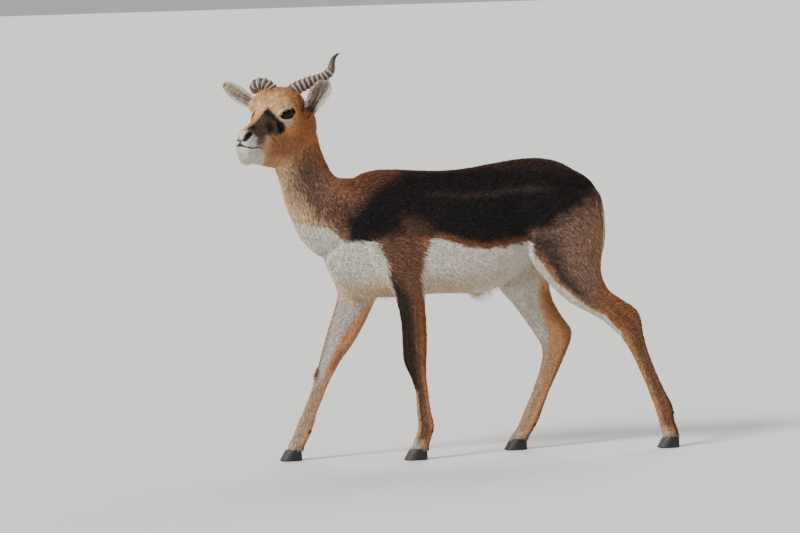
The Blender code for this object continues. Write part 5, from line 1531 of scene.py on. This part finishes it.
def lock_mesh(name, points, colours, unwrap, lock_faces):
    """Mesh of many locks with their colours and each lock's patch of the unwrap, 0.003 across."""
    count, each = points.shape[:2]
    faces = (lock_faces[None] + (np.arange(count) * each)[:, None, None]).reshape(-1, 3)
    mesh = new_mesh(name, points.reshape(-1, 3), faces)
    set_attribute(mesh, "coat", colours.reshape(-1, 3), "FLOAT_COLOR")
    layer = mesh.uv_layers.new(name="OFBake")
    # the patch: a lock's corners stand in threes along it, so they spread over the patch in rows
    row = np.arange(each) // 3
    spread = np.column_stack([(np.arange(each) % 3) - 1.0, 2.0 * row / row.max() - 1.0])
    spread *= PATCH_HALF
    spread[-1] = (0.0, PATCH_HALF)
    edge = 2 * PATCH_HALF
    place = np.clip(unwrap, edge, 1.0 - edge)[:, None, :] + spread[None]
    corner = place.reshape(-1, 2)[faces.ravel()]
    layer.data.foreach_set("uv", corner.astype(np.float32).ravel())
    return mesh


def lock_colours(roots, up, rng):
    """Colour of each lock's seven points: the marking, flecked, darkened towards the root by painted
    shade among the locks.
    """
    colour, fleck = coat_marks(roots, up)
    chance = rng.random(len(roots))
    dark = chance < fleck * 0.40
    pale = chance > 1 - fleck * 0.30
    colour = np.where(dark[:, None], colour * 0.48, colour)
    colour = np.where(pale[:, None], np.minimum(colour * 1.55, colour + 0.18), colour)
    tone = 1.0 + rng.normal(0.0, 0.12, len(roots)) * (1 + 0.7 * head_share(roots))
    clump = wobble(roots, 0.013) + 0.6 * wobble(roots + 0.4, 0.027)
    tone = tone + clump * (0.05 + 0.10 * crown_share(in_head(roots)) * head_share(roots))
    colour = colour * np.clip(tone, 0.62, 1.4)[:, None]
    return np.clip(colour[:, None, :] * LOCK_PAINTED_SHADES[None, :, None], 0.0, BRIGHTEST)


class BlackbuckSizes(bpy.types.PropertyGroup):
    """Sizes and colours of the coat that a user would change."""
    lock_length: bpy.props.FloatProperty(
        name="Lock length", description="Length of the locks against their usual length",
        default=1.0, min=0.2, max=3.0)
    lock_width: bpy.props.FloatProperty(
        name="Lock width", description="Width of the locks against their usual width",
        default=1.0, min=0.2, max=3.0)
    lock_lift: bpy.props.FloatProperty(
        name="Lock lift", description="How far the locks stand off the skin",
        default=0.0022, unit="LENGTH", min=0.0, max=0.02)
    seed: bpy.props.IntProperty(
        name="Seed", description="Number that the random places of the locks start from", default=41)
    eye_colour: bpy.props.FloatVectorProperty(
        name="Eye colour", description="Colour of the iris", subtype="COLOR",
        default=(0.012, 0.006, 0.004), min=0.0, max=1.0)
    horn_colour: bpy.props.FloatVectorProperty(
        name="Horn colour", description="Colour of the horns between their rings", subtype="COLOR",
        default=(0.14, 0.105, 0.078), min=0.0, max=1.0)
    hoof_colour: bpy.props.FloatVectorProperty(
        name="Hoof colour", description="Colour of the hooves", subtype="COLOR",
        default=(0.012, 0.009, 0.0075), min=0.0, max=1.0)
    floor_colour: bpy.props.FloatVectorProperty(
        name="Floor colour", description="Colour of the studio floor", subtype="COLOR",
        default=(0.72, 0.70, 0.66), min=0.0, max=1.0)


def finish_piece(thing, look, nodes=()):
    """Smooth a piece and give it its material, its body and the solids it stands for."""
    thing.data.shade_smooth()
    thing.data.materials.clear()
    thing.data.materials.append(look)
    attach(thing, "root")
    if nodes:
        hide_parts(*nodes)


class BLACKBUCK_OT_skin(bpy.types.Operator):
    """Build the skin with the coat's markings"""
    bl_idname = "blackbuck.skin"
    bl_label = "Skin"

    def execute(self, context):
        skin = build_skin()
        mesh = skin.data
        colour = coat_marks(points_of(mesh), points_of(mesh, "normal"))[0]
        colour = mixed(colour, LIP_DARK, nostrils_of(mesh))
        # the skin takes the markings darkened a little: painted shade under the coat's locks
        set_attribute(mesh, "coat", colour * HIDE_PAINTED_SHADE, "FLOAT_COLOR")
        finish_piece(skin, coat_material("hide"), FLESH_NODES)
        return {"FINISHED"}


class BLACKBUCK_OT_coat(bpy.types.Operator):
    """Sow the locks of the coat over the skin"""
    bl_idname = "blackbuck.coat"
    bl_label = "Coat"

    def execute(self, context):
        sizes = context.scene.blackbuck
        rng = np.random.default_rng(sizes.seed)
        roots, up = sow_roots(bpy.data.objects["skin"].data, rng)
        names = coat_regions(roots)
        way = lie_of(roots, up)
        length, width = lock_sizes(roots)[:2]
        count = len(roots)
        length = length * sizes.lock_length * rng.uniform(0.75, 1.25, count)
        width = width * sizes.lock_width * rng.uniform(0.8, 1.2, count)
        bushy = crown_share(in_head(roots)) * head_share(roots)
        turn = rng.normal(0.0, 0.16, count) * (1 + 1.6 * bushy) + 0.25 * wobble(roots, 0.06)
        turn = turn + 0.9 * bushy * wobble(roots, 0.022)
        way = way * np.cos(turn)[:, None] + np.cross(up, way) * np.sin(turn)[:, None]
        lift = sizes.lock_lift * (length / FULL_LOCK) * rng.uniform(0.6, 1.3, count) * (1 + 0.8 * bushy)
        # the locks over the hooves stand out like a fringe
        fringe = smooth(HOOF_TOP + 0.012, HOOF_TOP + 0.004, roots[:, 2])
        way = unit(way + up * (0.45 * fringe)[:, None])
        curl = rng.normal(0.0, 0.07, count) * length
        corners = lock_points(roots, up, way, length, width, lift, curl)
        colours = lock_colours(roots, up, rng)
        for name in sorted(set(names)):
            pick = names == name
            mesh = lock_mesh("coat_" + name, corners[pick], colours[pick],
                             unwrap_place(roots[pick], name), LOCK_FACES)
            finish_piece(add_object("coat_" + name, mesh), coat_material("coat hair"))
        return {"FINISHED"}


def horn_grid(line):
    """Horn as a tapering tube, with its tone for the ramp on each point: painted highlight on the
    ring crests and painted shade in the valleys between them. Its radius is the taper plus rings
    that rise slowly and fall steeply towards the tip, with a fine ripple between."""
    length = np.concatenate([[0.0], np.cumsum(np.linalg.norm(np.diff(line, axis=0), axis=1))])
    shares = np.linspace(0.0, 1.0, HORN_ROWS)
    middle = resample(line, length / length[-1], shares)
    ahead = unit(np.gradient(middle, shares, axis=0))
    wave = np.clip((shares - PLAIN_ROOT) / (RINGED_SHARE - PLAIN_ROOT), 0.0, 1.0)
    phase = (HORN_RINGS * wave) % 1.0
    crest = np.where(phase < RING_CREST, smooth(0.0, RING_CREST, phase), smooth(1.0, RING_CREST, phase))
    ringed = (shares > PLAIN_ROOT) & (shares < RINGED_SHARE)
    swell = (RING_HEIGHT * (1.0 - 0.35 * wave)) * (crest**1.5 - 0.35) * ringed
    first = unit(np.cross(ahead, np.array(HORN_ACROSS)))
    second = np.cross(ahead, first)
    turn = ring_turn(HORN_SIDES)
    ripple = (0.00018 * np.sin(16 * turn)[None, :] * smooth(1.0, 0.6, shares)[:, None]
              + 0.00014 * np.sin(29 * turn + 2.0)[None, :] * np.cos(40 * shares)[:, None])
    radius = (HORN_RADIUS * np.interp(shares, *HORN_TAPER) + swell)[:, None] + ripple - 0.0003
    narrow = HORN_FLATNESS * np.sin(turn)[None, :]
    grid = (middle[:, None, :] + (radius * np.cos(turn))[:, :, None] * first[:, None, :]
            + (radius * narrow)[:, :, None] * second[:, None, :])
    smooth_end = 0.30 - 0.24 * smooth(RINGED_SHARE, 0.97, shares)
    plain = np.where(shares > RINGED_SHARE, smooth_end, 0.26)
    return grid, np.repeat(np.where(ringed, 0.08 + 0.66 * crest**1.3, plain), HORN_SIDES)


class BLACKBUCK_OT_horns(bpy.types.Operator):
    """Build the two ringed horns"""
    bl_idname = "blackbuck.horns"
    bl_label = "Horns"

    def execute(self, context):
        base = np.array(context.scene.blackbuck.horn_colour)
        # the ramp runs from painted shade in the valleys between the rings to painted highlight on their
        # crests
        stops = [(0.18, base * 0.26), (0.36, base * 0.75), (0.58, base * 1.5), (0.84, base * 3.3)]
        look = ramp_material("ringed horn", stops, {"Roughness": 0.50}, 260.0, 0.5, attribute="ring")
        for side, line in (("left", HORN_LEFT), ("right", HORN_RIGHT)):
            grid, tone = horn_grid(line)
            mesh = closed_mesh("horn_" + side, grid, HEAD_MATRIX)
            tone = np.concatenate([tone, tone[:1], tone[-1:]])
            set_attribute(mesh, "ring", tone[:len(mesh.vertices)])
            finish_piece(add_object(f"horn_{side}_ringed", mesh), look, [f"horn_{side}"])
        return {"FINISHED"}


def hoof_grid(front, back, middle):
    """One toe's hoof. Each level is an egg whose front is sharp; upwards the tip leans back, the
    wall bulges a little and the top rounds over."""
    levels, shrink = np.array(HOOF_LEVELS)
    along = np.cos(ring_turn(48))
    aside = np.sin(ring_turn(48)) * np.where(along < 0, 1.0 - 0.5 * along**2, 1.0)
    length = back - front
    swell = np.sin(math.pi * levels)
    tip = front + length * TOE_LEAN * levels
    heel = back + length * (0.02 * swell - 0.03 * levels)
    width = TOE_HALF_WIDTH * (1.0 - 0.10 * levels + 0.05 * swell)
    rim = 1.0 + 0.012 * np.sin(24 * levels)[:, None]
    x = ((tip + heel) / 2)[:, None] + ((heel - tip) / 2 * shrink)[:, None] * along * rim
    y = middle + (width * shrink)[:, None] * aside * rim
    z = levels[:, None] * (HOOF_TOP - 0.0003) + 0 * x
    return np.stack([x, y, z], axis=-1)


def claw_mesh(x, y, z):
    """Small claw behind a fetlock: an ellipsoid tilted so that its narrow end points down."""
    grid = ball_rings((0.0, 0.0, 0.0), CLAW_RADII, 18, 24)
    grid[:, :, 1:] *= (1.0 - 0.35 * smooth(0.0, -0.011, grid[:, :, 0]))[:, :, None]
    place = Matrix.Translation(Vector(SHIFT) + Vector((x - CLAW_BACK, y, z)))
    return closed_mesh("claw", grid, place @ Matrix.Rotation(CLAW_TILT, 4, "Y"))


class BLACKBUCK_OT_hooves(bpy.types.Operator):
    """Build the hooves and the small claws behind the fetlocks"""
    bl_idname = "blackbuck.hooves"
    bl_label = "Hooves"

    def execute(self, context):
        base = np.array(context.scene.blackbuck.hoof_colour)
        stops = [(0.30, base * 0.5), (0.55, base), (0.75, base * 2.2)]
        look = ramp_material("dark hoof", stops, {"Roughness": 0.55}, 120.0, 0.35, (1.0, 1.0, 5.0))
        for foot, (front, back, y) in FEET.items():
            outer = math.copysign(TOE_HALF_WIDTH + TOE_CLEFT / 2, y)
            for label, shift in (("outer", outer), ("inner", -outer)):
                name = f"hoof_{foot}_{label}"
                mesh = closed_mesh("hoof", hoof_grid(front, back, y + shift), SHIFT_MATRIX)
                finish_piece(add_object(name + "_horn", mesh), look, [name])
            x, y, z = DEWCLAWS[foot]
            for label, aside in (("inner", -CLAW_SPREAD), ("outer", CLAW_SPREAD)):
                mesh = claw_mesh(x, y + aside, z)
                finish_piece(add_object(f"claw_{foot}_{label}", mesh), look)
        return {"FINISHED"}


def eye_look(colour):
    """Glossy eye: dark iris with a wide pupil, from the piece's own iris attribute."""
    stops = [(0.10, colour * 0.15), (0.42, colour * 0.2), (0.50, colour), (0.75, colour * 2.2),
             (0.90, colour * 0.4)]
    gloss = {"Roughness": 0.12, "Coat Weight": 0.18, "Coat Roughness": 0.02,
             "Specular IOR Level": 0.12}
    return ramp_material("brown eye", stops, gloss, 500.0, 0.02, attribute="iris")


def eye_ball(sign):
    """Eyeball with a bulging front; the iris attribute rises from the wide pupil outwards."""
    a = np.linspace(0.0, math.pi, 49)[1:-1, None]
    b = ring_turn(64)[None, :]
    bulge = 1.0 + 0.055 * np.exp(-(a / 0.62) ** 2) - 0.02
    grid = np.stack([np.sin(a) * np.cos(b), np.sin(a) * np.sin(b), np.cos(a) * bulge + 0 * b], axis=-1)
    mesh = closed_mesh("eye", grid * EYE_RADII)
    x, y, z = points_of(mesh).T
    reach = np.hypot(x / IRIS_HALF[0], y / IRIS_HALF[1])
    pupil = np.hypot(x / PUPIL_HALF[0], y / PUPIL_HALF[1])
    iris = 0.46 * np.minimum(pupil, 1.0) + 0.46 * smooth(0.85, 1.1, pupil) * np.clip(reach, 0, 1)
    set_attribute(mesh, "iris", np.where(z > 0, np.clip(iris, 0, 1), 0.0))
    turn = eye_frame(sign)
    mesh.transform(turn)
    if turn.determinant() < 0:
        mesh.flip_normals()
    return mesh


def ball_height(x, y):
    """Height of the eyeball's front over a place in the eye's frame, 0 beyond its edge."""
    inside = np.clip(1.0 - (x / EYE_RADII[0]) ** 2 - (y / EYE_RADII[1]) ** 2, 0.0, 1.0)
    return EYE_RADII[2] * np.sqrt(inside)


# rows of the lids from the margin outwards: how far out against the opening; then for the six rows
# on the eyeball their rise over it and their share of the crest, and for the six rows on the face
# their height over it, and what the upper lid adds to that; the crest stands over the crest row
LID_SCALES = (0.80, 0.86, 0.90, 0.94, 0.98, 1.03, 1.09, 1.16, 1.26, 1.40, 1.58, 1.80)
BALL_ROWS = 6
CREST_ROW = 8
LID_RISE = (-0.0030, -0.0008, 0.0010, 0.0020, 0.0026, 0.0026)
LID_CREST = (0.0, 0.1, 0.3, 0.6, 0.9, 1.0)
LID_FOLD = (0.0012, 0.0, 0.0008, 0.0010, 0.0004, -0.0014)
UPPER_FOLD = (0.0004, -0.0010, 0.0006, 0.0012, 0.0004, 0.0)


def lid_grid(turn_in, skin_points):
    """Lids as a ring surface round the opening, in the eye's frame. Rows run from behind the
    margin up the eyeball, over the rim and the fold and out onto the face, where they sink into
    the skin."""
    turn = ring_turn(96)
    upper = smooth(-0.2, 0.5, np.sin(turn))
    scales, rise, share, fold, upper_fold = (
        np.array(table)[:, None] for table in (LID_SCALES, LID_RISE, LID_CREST, LID_FOLD, UPPER_FOLD))
    line_x, line_y = lid_line(turn)
    x = LID_MIDDLE[0] + (line_x - LID_MIDDLE[0])[None, :] * scales
    y = LID_MIDDLE[1] + (line_y - LID_MIDDLE[1])[None, :] * scales
    # the face's height under each place: the mean of the skin's points by a Gaussian of distance
    skin = to_frame(turn_in.inverted(), skin_points)
    around = (np.abs(skin) < EYE_SURROUND).all(axis=1)
    skin = skin[around & (lid_share(skin[:, 0], skin[:, 1]) > 1.14)]
    gap = (x[:, :, None] - skin[:, 0]) ** 2 + (y[:, :, None] - skin[:, 1]) ** 2
    pull = np.exp(-gap / (2 * 0.0016**2)) + 1e-9 * np.exp(-gap / (2 * 0.0060**2))
    face = (pull * skin[:, 2]).sum(axis=2) / pull.sum(axis=2)
    on_ball = np.maximum(ball_height(x, y)[:BALL_ROWS], 0.003) + rise * (1.0 + 0.35 * upper)
    crest = np.maximum(on_ball[-1], face[CREST_ROW] + 0.0008 + 0.0012 * upper)
    on_ball = on_ball * (1 - share) + np.minimum(crest, on_ball[-1] + 0.006) * share
    on_face = face[BALL_ROWS:] + fold + upper_fold * upper
    on_face[0] = (on_ball[-1] + on_face[1]) / 2
    return np.stack([x, y, np.vstack([on_ball, on_face])], axis=-1)


def lid_mesh(sign, skin_points):
    """Lids as a closed ring with their coat colours: the face's markings with a dark margin that
    ends in the tear line before the eye."""
    turn = eye_frame(sign)
    grid = lid_grid(turn, skin_points)
    lids = np.concatenate([grid, grid[::-1] - (0.0, 0.0, LID_THICKNESS)])
    points = lids.reshape(-1, 3)
    mesh = new_mesh("lids", points, grid_faces(len(lids) + 1, grid.shape[1]) % len(points))
    mesh.transform(turn)
    outward(mesh)
    placed = points_of(mesh)
    x, y = to_frame(turn.inverted(), placed)[:, :2].T
    rim = np.interp(np.sin(np.arctan2(y, x)), (-0.3, 0.5), (1.14, 1.32))
    ahead = x - TEAR_PLACE[0]
    tear = np.hypot(ahead / TEAR_HALF[0], (y - TEAR_PLACE[1] - 0.2 * ahead) / TEAR_HALF[1])
    dark = np.maximum(smooth(0.05, -0.04, lid_share(x, y) - rim), smooth(1.25, 0.75, tear))
    tone = mixed(coat_marks(placed, points_of(mesh, "normal"))[0], BLACK_HAIR, dark)
    set_attribute(mesh, "coat", tone, "FLOAT_COLOR")
    return mesh


class BLACKBUCK_OT_eyes(bpy.types.Operator):
    """Build the eyes with their lids"""
    bl_idname = "blackbuck.eyes"
    bl_label = "Eyes"

    def execute(self, context):
        look = eye_look(np.array(context.scene.blackbuck.eye_colour))
        skin_points = points_of(bpy.data.objects["skin"].data)
        for side, sign in SIDES:
            ball = add_object(f"eye_{side}_ball", eye_ball(sign))
            finish_piece(ball, look, [f"eye_{side}"])
            lids = add_object(f"lids_{side}", lid_mesh(sign, skin_points))
            finish_piece(lids, coat_material("lid skin"))
        return {"FINISHED"}


LONG_RINGS = 5


def long_locks(roots, up, way, droop, length, width, rng):
    """Long locks of five three-cornered rings and a tip. Place(k) = root + way length k
    + droop length k^2 + sway sin(pi k), and the lock thins as (1 - k)^0.6."""
    count = len(roots)
    k = np.linspace(0.0, 1.0, LONG_RINGS + 1)
    side = unit(np.cross(way, up))
    sway = rng.normal(0.0, 0.07, count)
    line = (roots[:, None, :] + way[:, None, :] * (length[:, None] * k)[:, :, None]
            + droop[:, None, :] * (length[:, None] * k**2)[:, :, None]
            + side[:, None, :] * ((length * sway)[:, None] * np.sin(math.pi * k))[:, :, None])
    thin = (width[:, None] * (1.0 - k[:-1]) ** 0.6)[:, :, None]
    rings = line[:, :-1, None, :] + np.stack([
        -0.5 * thin * side[:, None, :], 0.5 * thin * side[:, None, :],
        0.45 * thin * up[:, None, :]], axis=2)
    points = np.concatenate([rings.reshape(count, LONG_RINGS * 3, 3), line[:, -1:, :]], axis=1)
    faces = [(0, 1, 2)]
    for ring in range(LONG_RINGS - 1):
        for corner in range(3):
            a, b = ring * 3 + corner, ring * 3 + (corner + 1) % 3
            faces += [(a, a + 3, b), (b, a + 3, b + 3)]
    last = (LONG_RINGS - 1) * 3
    faces += [(last + corner, LONG_RINGS * 3, last + (corner + 1) % 3) for corner in range(3)]
    return points, np.array(faces)


# long hair: name, place and spread, way and droop, then number, length and width, all sizes in
# millimetres; the places are in the drawing frame for LONG_HAIR and in the head's for HEAD_HAIR
LONG_HAIR = [
    ("belly", (84, 0, 436), (30, 8, 4), (0.25, 0, -0.8), (0.25, 0, -0.2), 110, 26, 1.2),
    ("belly", (110, 0, 440), (50, 12, 3), (0.6, 0, -0.6), (0.2, 0, -0.3), 120, 17, 1.2),
    ("chest", (-250, 0, 447), (70, 20, 12), (0.55, 0, -0.65), (0.2, 0, -0.2), 420, 18, 1.5),
    ("chest", (-318, 0, 510), (18, 25, 30), (0.1, 0, -0.9), (0.2, 0, -0.2), 260, 18, 1.5),
    ("knee", (-337, 70, 236), (6, 10, 14), (-0.8, 0, -0.62), (0.1, 0, -0.5), 130, 20, 1.3),
    ("elbow", (-56, -74, 505), (8, 10, 25), (0.55, 0, -0.7), (0.1, 0, -0.3), 110, 15, 1.4),
    ("elbow", (-118, 70, 505), (8, 10, 25), (0.55, 0, -0.7), (0.1, 0, -0.3), 90, 15, 1.4),
]
HEAD_HAIR = [
    ("chin", (130, 0, -116), (20, 12, 4), (0.35, 0, -0.8), (-0.2, 0, -0.1), 200, 10, 1.0),
    ("chin", (150, 0, -100), (3, 12, 8), (0.8, 0, -0.5), (-0.2, 0, -0.2), 90, 9, 0.9),
    ("crown", (10, 0, 58), (26, 20, 4), (-0.45, 0, 0.7), (-0.4, 0, -0.2), 420, 13, 1.1),
    ("poll", (-45, 0, 64), (22, 20, 4), (-0.8, 0, 0.3), (-0.4, 0, -0.4), 420, 13, 1.0),
]
EAR_HAIRS = 150
EAR_HAIR_WIDTH = 0.0009
LASHES = 64
LASH_WIDTH = 0.0007


def nearest_roots(tree, places):
    """Nearest points of the skin and their normals for an array of places."""
    found = [tree.find_nearest(Vector(place)) for place in places]
    return np.array([hit[0] for hit in found]), np.array([hit[1] for hit in found])


def tuft_hair(tree, tuft, on_head, rng):
    """One tuft: roots, normals, ways, droops, lengths, widths and colours of its hairs."""
    name, place, spread, way, droop, number, length, width = tuft
    place, spread, length, width = (np.array(size) / 1000.0 for size in (place, spread, length, width))
    spots = place + rng.normal(0.0, 0.55, (number, 3)) * spread
    ways, droops = even(way, number), even(droop, number)
    if on_head:
        spots = to_frame(HEAD_MATRIX, spots)
        ways, droops = turned(HEAD_MATRIX, ways), turned(HEAD_MATRIX, droops)
    else:
        spots = spots + SHIFT
    roots, up = nearest_roots(tree, spots)
    ways = unit(ways + rng.normal(0.0, 0.16, (number, 3)) + up * 0.12)
    lengths = length * rng.uniform(0.55, 1.15, number)
    colour = coat_marks(roots, up)[0]
    if name == "belly":
        colour = mixed(colour, PALE_ORANGE, np.full(number, 0.45))
    if name == "knee":
        colour = mixed(even(DEEP_ORANGE, number), THIGH_DARK, 0.6 * rng.random(number))
    return roots - up * 0.0006, up, ways, droops, lengths, np.full(number, width), colour


def ear_hair(spec, rng):
    """Pale hair inside an ear, from both rims inward and tipward, in the same form as a tuft."""
    u = rng.uniform(0.16, 0.92, EAR_HAIRS)
    edge = rng.choice([-1.0, 1.0], EAR_HAIRS)
    v = edge * rng.uniform(0.66, 0.97, EAR_HAIRS)
    curl = np.radians(np.interp(u, *EAR_CURL))
    bend = np.interp(u, *EAR_LOBE) * spec[4] / np.sin(np.minimum(curl, math.pi / 2))
    roots = np.column_stack([bend * np.sin(v * curl), u * spec[3],
                             -bend * np.cos(v * curl) + bend * EAR_BOWL])
    lengths = rng.uniform(0.007, 0.014, EAR_HAIRS) * np.interp(u, (0, 0.7, 1), (1.1, 1.0, 0.5))
    ways = np.column_stack([-0.55 * edge, np.full(EAR_HAIRS, 0.80), np.full(EAR_HAIRS, 0.22)])
    ways = unit(ways + rng.normal(0.0, 0.12, ways.shape))
    tone = mixed(even(WHITE_HAIR, EAR_HAIRS), EAR_INSIDE, rng.random(EAR_HAIRS))
    matrix = ear_frame(spec)
    up = turned(matrix, even((0.0, 0.0, 1.0), EAR_HAIRS))
    return (to_frame(matrix, roots), up, turned(matrix, ways),
            np.zeros((EAR_HAIRS, 3)), lengths, np.full(EAR_HAIRS, EAR_HAIR_WIDTH), tone)


def lashes(sign, rng):
    """Lashes along an upper lid, in the same form as a tuft."""
    angle = np.linspace(0.25, 2.75, LASHES) + rng.normal(0.0, 0.02, LASHES)
    x, y = lid_line(angle)
    roots = np.column_stack([x, y, ball_height(x, y) + 0.0030])
    ways = unit(np.column_stack([0.35 * np.cos(angle), 0.30 + 0 * x, 0.85 + 0 * x]))
    matrix = eye_frame(sign)
    up, droop = even((0.0, 1.0, 0.0), LASHES), even((0.0, -0.35, 0.0), LASHES)
    return (to_frame(matrix, roots), turned(matrix, up), turned(matrix, ways),
            turned(matrix, droop), rng.uniform(0.006, 0.009, LASHES),
            np.full(LASHES, LASH_WIDTH), even(BLACK_HAIR, LASHES))


class BLACKBUCK_OT_long_hair(bpy.types.Operator):
    """Grow the long hair of belly, chest, elbows, knee, crown, poll, chin and ears, and the lashes"""
    bl_idname = "blackbuck.long_hair"
    bl_label = "Long hair"

    def execute(self, context):
        rng = np.random.default_rng(context.scene.blackbuck.seed + 1)
        skin = bpy.data.objects["skin"]
        tree = BVHTree.FromObject(skin, context.evaluated_depsgraph_get())
        body = [tuft_hair(tree, tuft, False, rng) for tuft in LONG_HAIR]
        head = [tuft_hair(tree, tuft, True, rng) for tuft in HEAD_HAIR]
        head += [ear_hair(spec, rng) for spec in EARS.values()]
        head += [lashes(sign, rng) for _, sign in SIDES]
        for part, tufts, region, slot in (("body", body, "flank", "torso_coat"),
                                          ("head", head, "head", "head_coat")):
            *hairs, colour = (np.concatenate(x) for x in zip(*tufts))
            points, faces = long_locks(*hairs, rng)
            tone = np.clip(1.0 + rng.normal(0.0, 0.14, len(points)), 0.7, 1.3)[:, None]
            # painted shade: each long lock darker at its root, where it leaves the coat, and lighter
            # towards its tip
            painted_shades = np.linspace(0.80, 1.10, points.shape[1])[None, :, None]
            colours = np.clip((colour * tone)[:, None, :] * painted_shades, 0.0, BRIGHTEST)
            mesh = lock_mesh("long_hair_" + part, points, colours, unwrap_place(hairs[0], region), faces)
            finish_piece(add_object("long_hair_" + part, mesh), coat_material("coat hair"))
        return {"FINISHED"}


# studio: radii of the floor's rings, then name, place, spread in degrees and strength of each light
FLOOR_RINGS = (0.5, 2.0, 6.0, 15.0, 40.0, 90.0)
LIGHTS = (("key", (-3.8, -2.4, 4.0), 16.0, 3.9), ("back", (1.4, 3.0, 3.4), 30.0, 1.6))
SKY_COLOUR = (0.92, 0.95, 1.0, 1.0)
SKY_STRENGTH = 0.50


def stage_grid():
    """Level round floor: rings of points out to a wide radius."""
    turn = ring_turn(64)
    radius = np.array(FLOOR_RINGS)[:, None]
    grid = np.stack([radius * np.cos(turn), radius * np.sin(turn), 0 * radius * turn], axis=-1)
    points = np.vstack([grid.reshape(-1, 3), np.zeros((1, 3))])
    quads = grid_faces(len(grid), len(turn))
    spot = np.arange(len(turn))
    middle = np.column_stack([np.full(len(turn), len(points) - 1), spot, (spot + 1) % len(turn)])
    return points, np.vstack([quads[:, [0, 2, 1]], quads[:, [0, 3, 2]], middle])


def camera_matrix():
    """Matrix of the camera from its bearing, height and roll, looking at the view's centre."""
    rise = math.asin(CAMERA_HEIGHT)
    sine, cosine = math.sin(CAMERA_BEARING), math.cos(CAMERA_BEARING)
    out = Vector((sine * math.cos(rise), -cosine * math.cos(rise), math.sin(rise)))
    right = Vector((cosine, sine, 0.0))
    right = (right - out.cross(right) * CAMERA_ROLL).normalized()
    up = out.cross(right).normalized()
    place = Vector(VIEW_CENTRE) + Vector(SHIFT) + out * CAMERA_DISTANCE
    return Matrix.Translation(place) @ Matrix((right, up, out)).transposed().to_4x4()


def add_light(name, place, spread, power):
    """Sun lamp at a place, turned towards the middle of the model."""
    lamp = bpy.data.lights.new(name, "SUN")
    lamp.angle = math.radians(spread)
    lamp.energy = power
    aim = Vector((0.0, 0.0, 0.5)) - Vector(place)
    turn = aim.to_track_quat("-Z", "Y").to_matrix().to_4x4()
    add_object(name, lamp).matrix_world = Matrix.Translation(place) @ turn


class BLACKBUCK_OT_stage(bpy.types.Operator):
    """Set up the floor, the lights and the camera"""
    bl_idname = "blackbuck.stage"
    bl_label = "Stage"

    def execute(self, context):
        scene = context.scene
        floor = add_object("floor", new_mesh("floor", *stage_grid()))
        colour = np.array(scene.blackbuck.floor_colour)
        look = ramp_material("studio floor", [(0.3, colour * 0.97), (0.7, colour)],
                             {"Roughness": 0.85}, 3.0, 0.02)
        floor.data.materials.append(look)
        floor.data.shade_smooth()
        lens = bpy.data.cameras.new("camera")
        lens.sensor_width = 36.0
        lens.lens = lens.sensor_width * CAMERA_DISTANCE / VIEW_WIDTH
        lens.clip_end = 200.0
        scene.camera = add_object("camera", lens)
        scene.camera.matrix_world = camera_matrix()
        for light in LIGHTS:
            add_light(*light)
        scene.world = bpy.data.worlds.new("studio")
        scene.world.use_nodes = True
        sky = scene.world.node_tree.nodes["Background"]
        sky.inputs["Color"].default_value = SKY_COLOUR
        sky.inputs["Strength"].default_value = SKY_STRENGTH
        return {"FINISHED"}


class BLACKBUCK_PT_panel(bpy.types.Panel):
    """Sidebar panel that lists the settings and the pieces"""
    bl_idname = "BLACKBUCK_PT_panel"
    bl_label = "Blackbuck"
    bl_space_type = "VIEW_3D"
    bl_region_type = "UI"
    bl_category = "Blackbuck"

    def draw(self, context):
        for key in BlackbuckSizes.__annotations__:
            self.layout.prop(context.scene.blackbuck, key)
        for operator in OPERATORS:
            self.layout.operator(operator.bl_idname)


OPERATORS = (BLACKBUCK_OT_skin, BLACKBUCK_OT_eyes, BLACKBUCK_OT_horns, BLACKBUCK_OT_hooves,
             BLACKBUCK_OT_coat, BLACKBUCK_OT_long_hair, BLACKBUCK_OT_stage)
CLASSES = (BlackbuckSizes, *OPERATORS, BLACKBUCK_PT_panel)


def register():
    """Register the classes and the scene's settings."""
    for kind in CLASSES:
        bpy.utils.register_class(kind)
    bpy.types.Scene.blackbuck = bpy.props.PointerProperty(type=BlackbuckSizes)


def unregister():
    """Remove the settings and the classes."""
    del bpy.types.Scene.blackbuck
    for kind in reversed(CLASSES):
        bpy.utils.unregister_class(kind)


def main():
    """Build every piece in order."""
    register()
    for operator in OPERATORS:
        group, name = operator.bl_idname.split(".")
        getattr(getattr(bpy.ops, group), name)()


if __name__ == "__main__":
    main()
